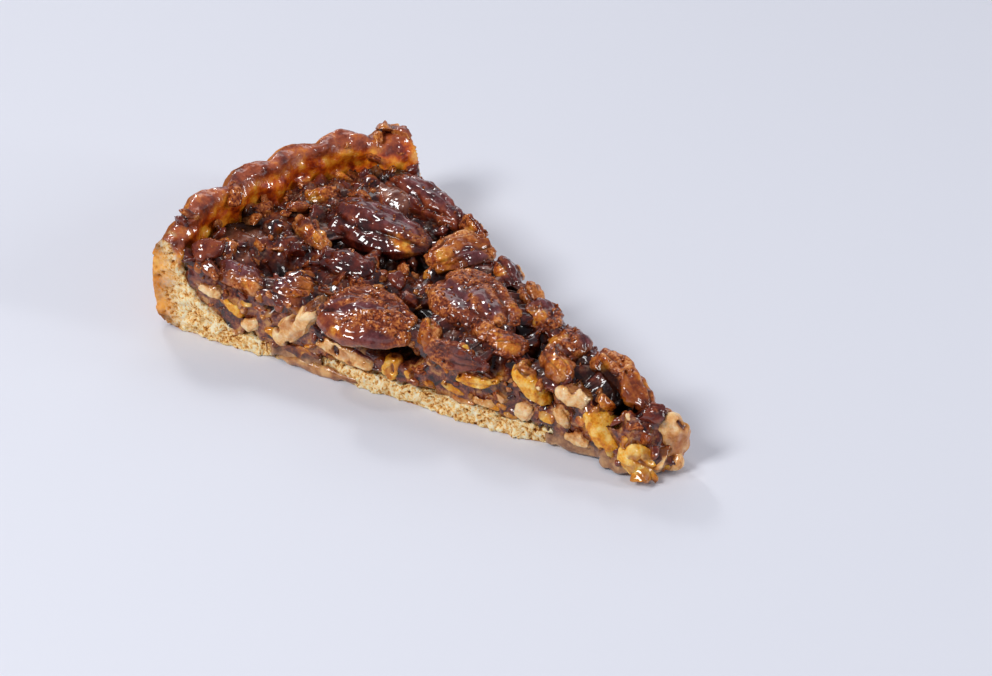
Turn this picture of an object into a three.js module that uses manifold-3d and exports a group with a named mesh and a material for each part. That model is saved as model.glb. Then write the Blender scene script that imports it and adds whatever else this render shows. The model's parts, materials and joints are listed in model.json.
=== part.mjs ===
// A slice of pecan tart: a fluted short pastry case, a caramel filling full of
// chopped nuts, and the pecans that stand out of its top and its cut faces.
//
// Millimetres, +Z up. The origin is on the flat underside, on the centre line
// of the slice. +X runs to the tip and -X to the rim; one cut face looks
// towards -Y and the other towards +Y.

import * as THREE from 'three';
import { mergeVertices } from 'three/addons/utils/BufferGeometryUtils.js';
import Module from 'manifold-3d';

const wasm = await Module();
wasm.setup();

const DEG = Math.PI / 180;

// The whole tart
const TART_RADIUS = 139.3;
const TART_CENTRE_X = 66;
const RIM_HEIGHT = 29;
const RIM_WAVE = 1.1;
const RIM_FLARE = 1.2;
const BASE_THICKNESS = 4.5;
const FLUTE_PITCH = 6.25 * DEG;
const FLUTE_DEPTH = 2.6;
const FLUTE_VALLEY = 0.6 * DEG;
const FLUTE_STEPS = 5;
const CASING_STEPS = 5;

// The slice cut from it
const CUT_START_X = -68.4;
const CUT_START_Y = 36.7;
const CUT_ANGLE = 15.2 * DEG;
const CUT_LENGTH = 118;
const CUT_OVERRUN = 7;
const BASE_END_INSET = 111;
const FLUTES_EACH_WAY = 3;
// The +Y cut curves outwards to the rim by this much, over these distances
const FAR_SPREAD = 5;
const FAR_SPREAD_END = [12, 34];
const TIP_OUTLINE = [[48, -7.2], [57, -5.9], [59.8, -1.2], [61, 2.6], [62, 6.9], [53, 6.6], [46, 6.6]];

// Grids of the rough cut faces, along the cut and up it: the crumb of the
// pastry is finer than the smeared caramel
const CRUMB_STEP = 3.4;
const CRUMB_LEVELS = [-2, 0.9, 2.6, 4.3, 7, 10, 13, 16, 19.5, 23, 27, 45];
const SMEAR_STEP = 6.2;
const SMEAR_LEVELS = [-2, 3, 8, 13, 18, 23, 45];
const CUTTER_STEP = 8;

// Where syrup has run down the -Y cut face, the pastry lies behind it:
// start and end along the cut, and depth
const SYRUP_RUNS = [[30, 54, 1.6], [101, 120, 1.6]];

// The filling
const FILLING_LEVEL = 16.4;
const FILLING_FLOOR = 0.3;
const FILLING_RIM_RISE = 3.2;
const FILLING_CELL = 4.7;
const FILLING_RADIUS = TART_RADIUS - 8;
const FILLING_RELIEF = 1.5;
const CHOP_COUNT = 66;
const CHOP_RADIUS = [1.5, 3.1];

// Clear space kept between two solids that touch
const GAP = 0.3;
const SLIVER = 0.03;
const HIDDEN_SLIVER = 0.2;

// Grid of a nut's skin: steps around it and along it
const HALF_GRID = [16, 7];
const PIECE_GRID = [9, 5];
const CHIP_GRID = [8, 4];
// The pocket that a nut fills in the caramel is coarser than the nut, and is
// swollen by this step until no more than this volume of the nut is left out
const POCKET_GRID = [7, 4];
const POCKET_STEP = 0.1;
const POCKET_MISS = 0.02;

const FINISHES = {
  pastry: { color: '#dbb981', roughness: 0.85 },
  caramel: { color: '#55291a', roughness: 0.28 },
  skin_dark: { color: '#4f2218', roughness: 0.3 },
  skin_tan: { color: '#8a5c3a', roughness: 0.55 },
  skin_amber: { color: '#a9581f', roughness: 0.3 },
  flesh_cream: { color: '#dfc496', roughness: 0.6 },
  flesh_gold: { color: '#d9a650', roughness: 0.5 },
};

// Pits between the nuts on top: x, y, radius, depth
const PITS = [
  [-37, -1, 5, 4], [-45, -17, 6, 4.5], [-10, 6, 4, 4.5], [-6, -8, 4, 4.5], [4, -26, 5, 6],
  [25, -1.5, 4, 3.5], [38, -11, 4.5, 4], [-26, -18, 4, 4], [49.5, -0.5, 6, 6.5], [-20, 9, 4, 2.5],
  [-52, 13, 4, 2.5], [9, 9, 3.5, 3], [-27, 3, 4, 2.5], [24, -13, 4, 3], [-58, -12, 5, 2.5],
];

// Nuts on the top: name, grid, centre, length width thickness, yaw pitch roll,
// how far it may stand out past the cuts, finish
const TOP_NUTS = [
  ['pecan_half_01', HALF_GRID, [-37, 8, 19.2], [31, 15.5, 9.5], [7, 0, 14], 0, 'skin_dark'],
  ['pecan_half_02', HALF_GRID, [-11.8, -19, 18.2], [22.4, 18.6, 8.5], [22, -2, 6], 7, 'skin_tan'],
  ['pecan_half_03', HALF_GRID, [3, 0.3, 19.6], [27, 19, 8.5], [-18, 2, 3], 0, 'skin_tan'],
  ['pecan_half_04', HALF_GRID, [-38.5, 26.4, 18.4], [28, 11, 7.6], [-3, 0, 12], 1.5, 'skin_dark'],
  ['pecan_half_05', HALF_GRID, [45, 4, 16.8], [21.5, 9.6, 8.2], [-15, -8, -24], 3.2, 'skin_amber'],
  ['pecan_half_06', PIECE_GRID, [-15.5, 14.6, 19], [19, 12.5, 8], [72, 0, 8], 0, 'skin_amber'],
  ['pecan_piece_01', PIECE_GRID, [-20, 25.6, 18.8], [14, 7.5, 7], [-18, 0, 0], 1.5, 'skin_tan'],
  ['pecan_piece_02', PIECE_GRID, [-1.2, 15.9, 18.4], [13, 8, 6.6], [-24, 0, 0], 1.5, 'skin_dark'],
  ['pecan_piece_03', PIECE_GRID, [8.6, 13.2, 18.2], [9.5, 6.5, 6], [-38, 0, 0], 1.5, 'skin_amber'],
  ['pecan_piece_04', PIECE_GRID, [17.4, 8, 19], [13, 10, 7.5], [-26, 4, 8], 1, 'skin_tan'],
  ['pecan_piece_05', PIECE_GRID, [28, 5.4, 18.2], [10, 9, 6.8], [-10, 0, 5], 1.5, 'skin_tan'],
  ['pecan_piece_06', PIECE_GRID, [18.2, -5.8, 18.8], [13, 10, 6.5], [18, 0, 0], 1, 'skin_tan'],
  ['pecan_piece_07', PIECE_GRID, [31.8, -3, 18], [12, 8, 7.5], [-30, 4, 6], 1, 'skin_amber'],
  ['pecan_piece_08', PIECE_GRID, [1.8, -13.4, 17.6], [10, 7, 6.5], [-42, 0, 0], 1, 'skin_amber'],
  ['pecan_piece_09', PIECE_GRID, [13.2, -16, 17.2], [17, 9.5, 7.5], [6, -3, 12], 1.5, 'skin_dark'],
  ['pecan_piece_10', PIECE_GRID, [-32.4, -6.8, 18.2], [15, 8.5, 7], [12, 0, 4], 0, 'skin_dark'],
  ['pecan_piece_11', PIECE_GRID, [-47.4, -4, 18.4], [14, 8, 7], [-16, 0, 0], 0, 'skin_amber'],
  ['pecan_piece_12', PIECE_GRID, [-47, -26.4, 17.2], [15, 9, 7], [6, 0, 10], 0.6, 'skin_amber'],
  ['pecan_piece_13', PIECE_GRID, [-34.6, -21.4, 17.4], [11, 8, 6.5], [30, 0, 6], 0.6, 'skin_amber'],
  ['pecan_piece_14', PIECE_GRID, [-57.2, -28, 20.6], [8, 7, 6.4], [50, 0, 0], 0, 'skin_dark'],
  ['pecan_piece_15', PIECE_GRID, [-56.4, 8.6, 19.4], [10.5, 8, 7], [60, 0, 0], 0, 'skin_tan'],
];

// Nuts sliced through by a cut: name, grid, distance along the cut from the
// rim and height of the centre, length and height in the face, slope,
// how far it stands out of the face, finish
const NEAR_NUTS = [
  ['pecan_cut_01', CHIP_GRID, 16.6, 13.6, 8, 4, -14, 0.3, 'flesh_cream'],
  ['pecan_cut_02', CHIP_GRID, 22.8, 11, 7.4, 3.4, -40, 0.2, 'flesh_gold'],
  ['pecan_cut_03', CHIP_GRID, 27.4, 7.6, 6, 5.2, 8, 0.7, 'flesh_cream'],
  ['pecan_cut_04', PIECE_GRID, 40.6, 11.4, 18, 7.6, 47, 1.2, 'flesh_cream'],
  ['pecan_cut_05', PIECE_GRID, 53.6, 8, 17.5, 6, -13, 0.8, 'flesh_cream'],
  ['pecan_cut_06', CHIP_GRID, 66.2, 7.9, 7.6, 5.6, 66, 0.6, 'flesh_gold'],
  ['pecan_cut_07', PIECE_GRID, 88.6, 12.6, 13.5, 5.8, 10, 1, 'flesh_gold'],
  ['pecan_cut_09', CHIP_GRID, 90.2, 6.6, 6.6, 3.8, -5, 0.5, 'flesh_cream'],
  ['pecan_cut_10', PIECE_GRID, 101.4, 14.6, 12.5, 4.6, -42, 1, 'flesh_gold'],
  ['pecan_cut_11', CHIP_GRID, 100.6, 7.3, 5.6, 5.4, 60, 0.2, 'flesh_cream'],
  ['pecan_cut_12', CHIP_GRID, 112.2, 15.2, 10, 5.6, -26, 0.8, 'flesh_cream'],
  ['pecan_cut_13', CHIP_GRID, 110, 9.2, 7.4, 4.8, -55, 1.2, 'flesh_cream'],
  ['pecan_cut_14', CHIP_GRID, 114.2, 4.6, 8, 5.6, -18, 0.4, 'flesh_cream'],
  ['pecan_cut_15', PIECE_GRID, 120.4, 7.6, 15, 6.8, -57, 1.8, 'flesh_gold'],
];
const FAR_NUTS = [
  ['pecan_cut_21', CHIP_GRID, 22, 12, 9, 5, -20, 0.4, 'flesh_cream'],
  ['pecan_cut_22', PIECE_GRID, 35, 9.6, 13, 6.4, 24, 0.9, 'flesh_cream'],
  ['pecan_cut_23', PIECE_GRID, 50, 11, 15, 6.6, -14, 0.8, 'flesh_gold'],
  ['pecan_cut_24', CHIP_GRID, 62.8, 7.8, 8, 5.4, 40, 0.5, 'flesh_cream'],
  ['pecan_cut_25', PIECE_GRID, 76, 11, 14, 6.4, 12, 0.9, 'flesh_cream'],
  ['pecan_cut_27', PIECE_GRID, 94, 10.6, 13, 5.8, 28, 0.8, 'flesh_cream'],
  ['pecan_cut_29', CHIP_GRID, 109.6, 9.6, 10, 5.4, -30, 0.8, 'flesh_cream'],
];

// Pieces that stand at the broken tip, given as the top nuts are
const TIP_NUTS = [
  ['pecan_tip_01', PIECE_GRID, [56, -3.2, 4.5], [9, 7, 8.5], [30, -40, 0], 9, 'flesh_gold'],
  ['pecan_tip_02', PIECE_GRID, [59, 4.6, 8.3], [15.6, 9, 6.5], [-50, 80, 0], 9, 'flesh_cream'],
  ['pecan_tip_03', CHIP_GRID, [56.4, 1.2, 14.8], [8.5, 5.5, 5.5], [30, 25, 0], 9, 'skin_dark'],
];

// --- small tools ---------------------------------------------------------

function seeded(seed) {
  let state = seed;
  return () => {
    state = (state * 1664525 + 1013904223) % 4294967296;
    return state / 4294967296;
  };
}

function lattice(i, j, k, seed) {
  const wave = Math.sin(i * 127.1 + j * 311.7 + k * 74.7 + seed * 53.3) * 43758.5453;
  return wave - Math.floor(wave);
}

// Smooth noise from -1 to 1, one lump for each unit of x, y and z
function noise(x, y, z, seed) {
  const cell = [x, y, z].map(Math.floor);
  const part = [x - cell[0], y - cell[1], z - cell[2]].map((f) => f * f * (3 - 2 * f));
  let sum = 0;
  for (let corner = 0; corner < 8; corner += 1) {
    const bit = [corner & 1, (corner >> 1) & 1, (corner >> 2) & 1];
    const weight = bit.reduce((w, b, axis) => w * (b ? part[axis] : 1 - part[axis]), 1);
    sum += weight * lattice(cell[0] + bit[0], cell[1] + bit[1], cell[2] + bit[2], seed);
  }
  return sum * 2 - 1;
}

function smoothstep(from, to, value) {
  const share = Math.min(1, Math.max(0, (value - from) / (to - from)));
  return share * share * (3 - 2 * share);
}

function solidOf(geometry) {
  const bare = geometry.clone();
  bare.deleteAttribute('normal');
  bare.deleteAttribute('uv');
  const merged = mergeVertices(bare, 1e-4);
  return new wasm.Manifold(new wasm.Mesh({
    numProp: 3,
    vertProperties: new Float32Array(merged.attributes.position.array),
    triVerts: new Uint32Array(merged.index.array),
  }));
}

function geometryOf(solid) {
  const mesh = solid.getMesh();
  const geometry = new THREE.BufferGeometry();
  geometry.setAttribute('position', new THREE.BufferAttribute(mesh.vertProperties, 3));
  geometry.setIndex(new THREE.BufferAttribute(mesh.triVerts, 1));
  geometry.computeVertexNormals();
  return geometry;
}

// The biggest body of a solid, without the scraps a cut may leave
function biggest(solid) {
  return solid.decompose().sort((a, b) => b.volume() - a.volume())[0];
}

// Closed solid through a row of outlines, each a list of Vector2 with the same
// number of points; place(index, point) gives an outline's point its position
function loft(sections, place) {
  const count = sections[0].length;
  const last = sections.length - 1;
  const points = sections.flatMap((section, i) => section.map((point) => place(i, point)));
  const faces = [];
  for (let i = 0; i < last; i += 1) {
    for (let j = 0; j < count; j += 1) {
      const a = i * count + j;
      const b = i * count + ((j + 1) % count);
      faces.push(a, b, b + count, a, b + count, a + count);
    }
  }
  for (const [a, b, c] of THREE.ShapeUtils.triangulateShape(sections[0], [])) {
    faces.push(a, c, b);
  }
  const top = last * count;
  for (const [a, b, c] of THREE.ShapeUtils.triangulateShape(sections[last], [])) {
    faces.push(top + a, top + b, top + c);
  }
  const geometry = new THREE.BufferGeometry();
  geometry.setFromPoints(points);
  geometry.setIndex(faces);
  return solidOf(geometry);
}

// --- the cuts ------------------------------------------------------------

// Point on a cut line: side is -1 for the -Y cut and 1 for the +Y cut, out is
// how far outside the line it lies
function onCut(side, along, out) {
  const spread = side > 0 ? FAR_SPREAD * (1 - smoothstep(...FAR_SPREAD_END, along)) : 0;
  const aside = out + spread;
  const x = CUT_START_X + along * Math.cos(CUT_ANGLE) + aside * Math.sin(CUT_ANGLE);
  const y = CUT_START_Y - along * Math.sin(CUT_ANGLE) + aside * Math.cos(CUT_ANGLE);
  return new THREE.Vector2(x, side * y);
}

// Everything between the two cuts and short of the broken tip, on a grid of
// that step and those levels. out(side, along, z) is how far a cut face stands
// out of its true plane.
function betweenCuts(step, levels, out) {
  const steps = Math.ceil((CUT_LENGTH + CUT_OVERRUN) / step);
  const stations = Array.from({ length: steps + 1 }, (_, i) => CUT_LENGTH - i * step);
  const sections = levels.map((z) => {
    const outline = [];
    for (const along of stations.toReversed()) {
      outline.push(onCut(-1, along, out(-1, along, z)));
    }
    const tipOut = out(0, CUT_LENGTH, z);
    for (const [x, y] of TIP_OUTLINE) {
      outline.push(new THREE.Vector2(x + tipOut, y + Math.sign(y) * tipOut));
    }
    for (const along of stations) {
      outline.push(onCut(1, along, out(1, along, z)));
    }
    return outline;
  });
  return loft(sections, (i, point) => new THREE.Vector3(point.x, point.y, levels[i]));
}

// --- the pastry case -----------------------------------------------------

// Height of the rim's crest: broken low at the -Y cut, highest in the middle
// and lower again towards the +Y cut
function rimHeight(angle) {
  const turn = angle / DEG;
  let height = RIM_HEIGHT + 0.8 * smoothstep(-9, 1, turn);
  height -= 4 * (1 - smoothstep(-14.2, -12.6, turn));
  height -= 1.2 * smoothstep(3, 9, turn) + 3 * smoothstep(11, 15, turn);
  return height + 0.5 * noise(angle * 24, 0, 0, 3);
}

// Radial section of the case: inset from the outer wall, height, share of the
// fluting. grow swells the inside of the case. The rim flares out a little in
// the middle and is a thick, broken heel at its +Y end.
function crustSection(angle, grow) {
  const lobe = Math.abs(Math.sin(((angle - FLUTE_VALLEY) / FLUTE_PITCH) * Math.PI));
  const flute = FLUTE_DEPTH * (1 - lobe);
  const crest = rimHeight(angle) + RIM_WAVE * (lobe - 0.7);
  const flare = RIM_FLARE * smoothstep(-15, -12, angle / DEG);
  const heel = smoothstep(9, 16, angle / DEG);
  const end = BASE_END_INSET + grow;
  const rows = [
    [end, 0, 0], [6.5, 0, 0.6], [2.2, 0.9, 1], [0.6, 2.9, 1], [0.3, 8.5, 1], [0.3, 14, 1],
    [1 - 0.7 * flare, 20.5, 1], [2.4 - flare, crest - 2, 1], [4.3 - 0.6 * flare + heel, crest, 1],
    [5.9 + 4 * heel + grow, crest - 0.6 + grow, 0.9], [7.1 + 6.5 * heel + grow, 21.9 + grow, 0.6],
    [8.4 + 8 * heel + grow, 17.2 + grow, 0.25], [10.9 + 7 * heel + grow, 12.7 + grow, 0],
    [14.2 + 5 * heel + grow, 9.1 + grow, 0], [19.4 + 2 * heel + grow, 6.3 + grow, 0],
    [24.5 + grow, BASE_THICKNESS + grow, 0], [end, BASE_THICKNESS + grow, 0],
  ];
  return rows.map(([inset, z, share]) => new THREE.Vector2(TART_RADIUS - inset - flute * share, z));
}

function crustCase(grow) {
  const step = FLUTE_PITCH / (grow > 0 ? CASING_STEPS : FLUTE_STEPS);
  const reach = Math.round((FLUTES_EACH_WAY * FLUTE_PITCH) / step);
  const angles = Array.from({ length: 2 * reach + 1 }, (_, i) => FLUTE_VALLEY + (i - reach) * step);
  const sections = angles.map((angle) => crustSection(angle, grow));
  return loft(sections, (i, { x: radius, y: z }) => new THREE.Vector3(
    TART_CENTRE_X - radius * Math.cos(angles[i]),
    radius * Math.sin(angles[i]),
    z,
  ));
}

// Crumbly face of the cut pastry: rough all over and set back behind the syrup
// runs
function crustCut(side, along, z) {
  let out = 0.55 * noise(along / 3.1, z / 2.3, side, 5) + 0.1;
  if (side < 0) {
    for (const [from, to, depth] of SYRUP_RUNS) {
      const inside = smoothstep(from, from + 5, along) * (1 - smoothstep(to - 5, to, along));
      out -= depth * inside;
    }
  }
  if (side === 0) {
    out -= 3;
  }
  return out;
}

function crust(grow) {
  const cutter = betweenCuts(CRUMB_STEP, CRUMB_LEVELS, (side, along, z) => crustCut(side, along, z) + grow);
  return crustCase(grow).intersect(cutter);
}

// --- the pecans ----------------------------------------------------------

// A pecan half, lengthwise along X, its rounded back up: two long grooves in
// the back, a seam along the flat side and a slightly narrower +X end
function pecan([around, along], [length, width, thickness], seed) {
  const geometry = new THREE.SphereGeometry(1, around, along);
  geometry.rotateX(Math.PI / 2);
  geometry.rotateY(Math.PI / 2);
  const position = geometry.attributes.position;
  for (let i = 0; i < position.count; i += 1) {
    const ux = position.getX(i);
    const uy = position.getY(i);
    const uz = position.getZ(i);
    const ring = Math.max(1e-6, Math.hypot(uy, uz));
    const aside = uy / ring;
    const full = Math.pow(ring, 0.8);
    const taper = 1 - 0.12 * ux;
    const groove = Math.exp(-Math.pow((Math.abs(aside) - 0.5) / 0.2, 2));
    const seam = Math.exp(-Math.pow(aside / 0.3, 2));
    const lump = 1 + 0.09 * noise(ux * 2.2, uy * 2.2, uz * 2.2, seed);
    const high = uz > 0 ? 0.56 * (1 - 0.2 * groove) : 0.44 * (1 - 0.2 * seam);
    position.setXYZ(
      i,
      (ux * lump * length) / 2,
      ((uy / ring) * full * taper * lump * width) / 2,
      (uz / ring) * full * taper * lump * high * thickness,
    );
  }
  return geometry;
}

function turned(geometry, [x, y, z], [yaw, pitch, roll]) {
  const turn = new THREE.Euler(roll * DEG, -pitch * DEG, yaw * DEG, 'ZYX');
  const matrix = new THREE.Matrix4().makeRotationFromEuler(turn);
  geometry.applyMatrix4(matrix.setPosition(x, y, z));
  return geometry;
}

// A row of the top or tip lists as a plain description of one nut
function standing([name, grid, at, size, turn, proud, finish]) {
  return { name, grid, at, size, turn, proud, finish };
}

// A nut in a cut face lies along it, with its middle just behind the cut
function sliced(side, [name, grid, along, z, length, height, slope, proud, finish]) {
  const depth = 1.2 + 0.12 * length;
  const point = onCut(side, along, -depth);
  const yaw = (-side * CUT_ANGLE) / DEG;
  return {
    name,
    grid,
    at: [point.x, point.y, z],
    size: [length, 2.2 * depth + 0.35 * length, height],
    turn: [yaw, slope, 0],
    proud,
    finish,
  };
}

function nutBlank({ grid, at, size, turn }, seed, grow) {
  const swollen = size.map((side) => side + 2 * grow);
  return solidOf(turned(pecan(grid, swollen, seed), at, turn));
}

// Coarse solid that holds a nut and the gap round it
function pocketFor(nut, seed) {
  const clear = nutBlank(nut, seed, GAP);
  let swell = GAP;
  let pocket = clear;
  do {
    swell += POCKET_STEP;
    pocket = nutBlank({ ...nut, grid: POCKET_GRID }, seed, swell);
  } while (clear.subtract(pocket).volume() > POCKET_MISS);
  return pocket;
}

// Nuts from first to last: each stays clear of the case and of those before it
function placeNuts(nuts, casing) {
  const placed = [];
  nuts.forEach((nut, index) => {
    const cutter = betweenCuts(CUTTER_STEP, [-5, 50], () => nut.proud);
    let solid = nutBlank(nut, index, 0).intersect(cutter).subtract(casing);
    for (const earlier of placed) {
      solid = solid.subtract(earlier.pocket);
    }
    solid = biggest(solid.simplify(SLIVER));
    placed.push({ ...nut, solid, pocket: pocketFor(nut, index) });
  });
  return placed;
}

// --- the filling ---------------------------------------------------------

function fillingHeight(x, y) {
  const radius = Math.hypot(x - TART_CENTRE_X, y);
  let z = FILLING_LEVEL + FILLING_RIM_RISE * smoothstep(104, 126, radius);
  z += FILLING_RELIEF * noise(x / 6.5, y / 6.5, 0, 11);
  for (const [px, py, reach, depth] of PITS) {
    z -= depth * (1 - smoothstep(0.2 * reach, reach, Math.hypot(x - px, y - py)));
  }
  return z;
}

function fillingBlock() {
  const length = 136;
  const width = 80;
  const middle = -4;
  const block = new THREE.BoxGeometry(
    length, width, 2, Math.round(length / FILLING_CELL), Math.round(width / FILLING_CELL), 1,
  );
  const position = block.attributes.position;
  for (let i = 0; i < position.count; i += 1) {
    const x = position.getX(i) + middle;
    const y = position.getY(i);
    const z = position.getZ(i) > 0 ? fillingHeight(x, y) : FILLING_FLOOR;
    position.setXYZ(i, x, y, z);
  }
  const disc = new THREE.CylinderGeometry(FILLING_RADIUS, FILLING_RADIUS, 100, 150);
  disc.rotateX(Math.PI / 2);
  disc.translate(TART_CENTRE_X, 0, 0);
  return solidOf(block).intersect(solidOf(disc));
}

function fillingCut(side, along, z) {
  if (side === 0) {
    return 0.5 * noise(z / 4, 0, 0, 19) - 0.3 - 2 * smoothstep(7, 14, z);
  }
  return 0.8 * noise(along / 7, z / 6, side, 17) - 0.4;
}

// Chopped nuts that show between the large ones, clear of them
function choppedNuts(nuts) {
  const random = seeded(41);
  const chops = [];
  for (let tries = 0; tries < 6000 && chops.length < CHOP_COUNT; tries += 1) {
    const x = -64 + 118 * random();
    const y = -36 + 72 * random();
    const radius = CHOP_RADIUS[0] + (CHOP_RADIUS[1] - CHOP_RADIUS[0]) * random();
    const turn = [random() * 360, random() * 60 - 30, random() * 60 - 30];
    const halfWidth = (58 - x) * Math.tan(CUT_ANGLE) + 1;
    const inSlice = Math.abs(y) < halfWidth - radius && Math.hypot(x - TART_CENTRE_X, y) < 127 - radius;
    const free = chops.every((other) => Math.hypot(x - other.x, y - other.y) > radius + other.radius);
    if (inSlice && free && nuts.every((nut) => clearOf(nut, x, y, radius))) {
      chops.push({ x, y, radius, turn });
    }
  }
  return chops.map(({ x, y, radius, turn }) => {
    const chop = new THREE.IcosahedronGeometry(radius, 0);
    chop.scale(1.15, 0.9, 0.72);
    return solidOf(turned(chop, [x, y, fillingHeight(x, y) + 0.15 * radius], turn));
  });
}

// Whether a round piece at x, y keeps off a nut, seen from above
function clearOf(nut, x, y, radius) {
  const yaw = nut.turn[0] * DEG;
  const dx = x - nut.at[0];
  const dy = y - nut.at[1];
  const across = Math.cos(nut.turn[1] * DEG) * (nut.size[0] / 2) + radius * 0.7;
  const u = (dx * Math.cos(yaw) + dy * Math.sin(yaw)) / across;
  const v = (-dx * Math.sin(yaw) + dy * Math.cos(yaw)) / (nut.size[1] / 2 + radius * 0.7);
  return Math.hypot(u, v) > 1;
}

function filling(nuts, casing) {
  let body = fillingBlock();
  for (const chop of choppedNuts(nuts)) {
    body = body.add(chop);
  }
  body = body.intersect(betweenCuts(SMEAR_STEP, SMEAR_LEVELS, fillingCut)).subtract(casing);
  for (const nut of nuts) {
    body = body.subtract(nut.pocket);
  }
  return biggest(body.simplify(HIDDEN_SLIVER));
}

// --- the slice -----------------------------------------------------------

function node(name, solid, finish) {
  const mesh = new THREE.Mesh(geometryOf(solid), new THREE.MeshStandardMaterial(FINISHES[finish]));
  mesh.name = name;
  return mesh;
}

const casing = crust(GAP);
const nuts = placeNuts([
  ...TOP_NUTS.map(standing),
  ...TIP_NUTS.map(standing),
  ...NEAR_NUTS.map((row) => sliced(-1, row)),
  ...FAR_NUTS.map((row) => sliced(1, row)),
], casing);

const group = new THREE.Group();
group.add(node('pastry_crust', biggest(crust(0).simplify(SLIVER)), 'pastry'));
group.add(node('caramel_filling', filling(nuts, casing), 'caramel'));
for (const nut of nuts) {
  group.add(node(nut.name, nut.solid, nut.finish));
}

export default group;
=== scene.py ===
"""A slice of pecan tart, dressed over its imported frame.

Lengths inside the file are millimetres, turned to metres where a mesh is
written. +X runs to the tip, -X to the fluted rim, +Z up; one cut face looks
towards -Y and the other towards +Y.
"""

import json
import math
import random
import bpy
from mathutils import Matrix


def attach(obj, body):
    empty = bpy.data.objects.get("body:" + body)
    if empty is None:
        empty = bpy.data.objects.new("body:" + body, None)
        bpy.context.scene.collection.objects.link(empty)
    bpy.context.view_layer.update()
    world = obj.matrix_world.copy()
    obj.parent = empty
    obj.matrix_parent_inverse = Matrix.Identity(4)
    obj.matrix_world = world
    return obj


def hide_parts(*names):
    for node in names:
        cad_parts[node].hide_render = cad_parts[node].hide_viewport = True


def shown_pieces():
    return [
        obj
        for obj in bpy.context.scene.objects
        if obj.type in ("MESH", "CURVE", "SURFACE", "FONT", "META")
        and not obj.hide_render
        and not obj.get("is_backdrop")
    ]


bl_info = {
    "name": "Pecan Tart Slice",
    "version": (1, 0, 0),
    "blender": (4, 5, 0),
    "location": "View3D > Sidebar > Tart Slice",
    "description": "Dresses a slice of pecan tart: pastry case, caramel, pecans, chopped nuts and syrup",
    "category": "Object",
}

import bpy
import numpy as np
from mathutils import Euler, Matrix, Vector
from mathutils.bvhtree import BVHTree
from mathutils.kdtree import KDTree

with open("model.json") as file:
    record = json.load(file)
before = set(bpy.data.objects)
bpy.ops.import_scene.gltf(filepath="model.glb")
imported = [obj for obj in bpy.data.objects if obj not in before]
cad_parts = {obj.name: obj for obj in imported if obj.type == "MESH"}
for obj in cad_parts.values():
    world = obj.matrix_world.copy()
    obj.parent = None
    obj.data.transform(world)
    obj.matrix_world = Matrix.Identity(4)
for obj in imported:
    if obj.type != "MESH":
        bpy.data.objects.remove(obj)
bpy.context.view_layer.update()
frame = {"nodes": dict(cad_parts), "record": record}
NUT_NODES = sorted(name for name in frame["nodes"] if name.startswith("pecan"))
SLOT_OF = {part["node"]: part.get("material_slot") for part in frame["record"].get("subparts", [])}

MM = 0.001
# A straight drop on to the slice, and the height that it starts from
DOWN = Vector((0, 0, -1))
ABOVE_ALL = 60.0

# The tart that the slice was cut from, and its two cuts
TART_RADIUS = 139.3
TART_CENTRE_X = 66.0
CUT_START_X = -68.4
CUT_START_Y = 36.7
CUT_ANGLE = math.radians(15.2)
CUT_COS = math.cos(CUT_ANGLE)
CUT_SIN = math.sin(CUT_ANGLE)
NEAR = -1
FAR = 1
FLUTE_PITCH = math.radians(6.25)
FLUTE_VALLEY = math.radians(0.6)
# The far cut leans out near the rim: by how much, and where along it that ends
FAR_SPREAD = 5.0
FAR_SPREAD_END = (12.0, 34.0)

# Inside of the pastry case: distance in from the outer wall, height
CASE_PROFILE = (
    (7.1, 21.9), (8.4, 17.2), (10.9, 12.7), (14.2, 9.1), (19.4, 6.3), (24.5, 4.5), (111.0, 4.5), (112.0, 0.3),
)

# Height of the rim's crest at angles round the tart, in degrees
RIM_CREST = ((-16, 25.0), (-13.6, 25.3), (-12.3, 29.0), (0, 30.0), (7, 28.8), (15, 26.2))

# Pits between the nuts on top, sunk and painted dark as shade: x, y, radius, depth
PITS = (
    (-37, -1, 5, 4), (-45, -17, 6, 4.5), (-10, 6, 4, 4.5), (-6, -8, 4, 4.5), (4, -26, 5, 6),
    (25, -1.5, 4, 3.5), (38, -11, 4.5, 4), (-26, -18, 4, 4), (49.5, -0.5, 6, 6.5), (-20, 9, 4, 2.5),
    (-52, 13, 4, 2.5), (9, 9, 3.5, 3), (-27, 3, 4, 2.5), (24, -13, 4, 3),
)

# Syrup that lies smooth on top: x, y, half length, half width, turn, level
POOLS = (
    (-58.5, -15, 7.5, 4.4, 70, 19.4), (-53.5, -21.5, 4.0, 2.4, 0, 19.6), (-45.5, 22, 6.8, 3.0, 0, 20.2),
)

# Gaps under the nuts in the -Y cut, pushed in and painted dark as shadow: distance along, height, half
# length, half height, depth
GAPS = (
    (65.5, 12.4, 9.0, 2.6, 5.0), (48.7, 13.0, 3.4, 1.6, 3.0), (105, 12.6, 2.6, 2.2, 3.0),
    (33.5, 13.6, 2.2, 1.2, 2.0),
)

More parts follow.
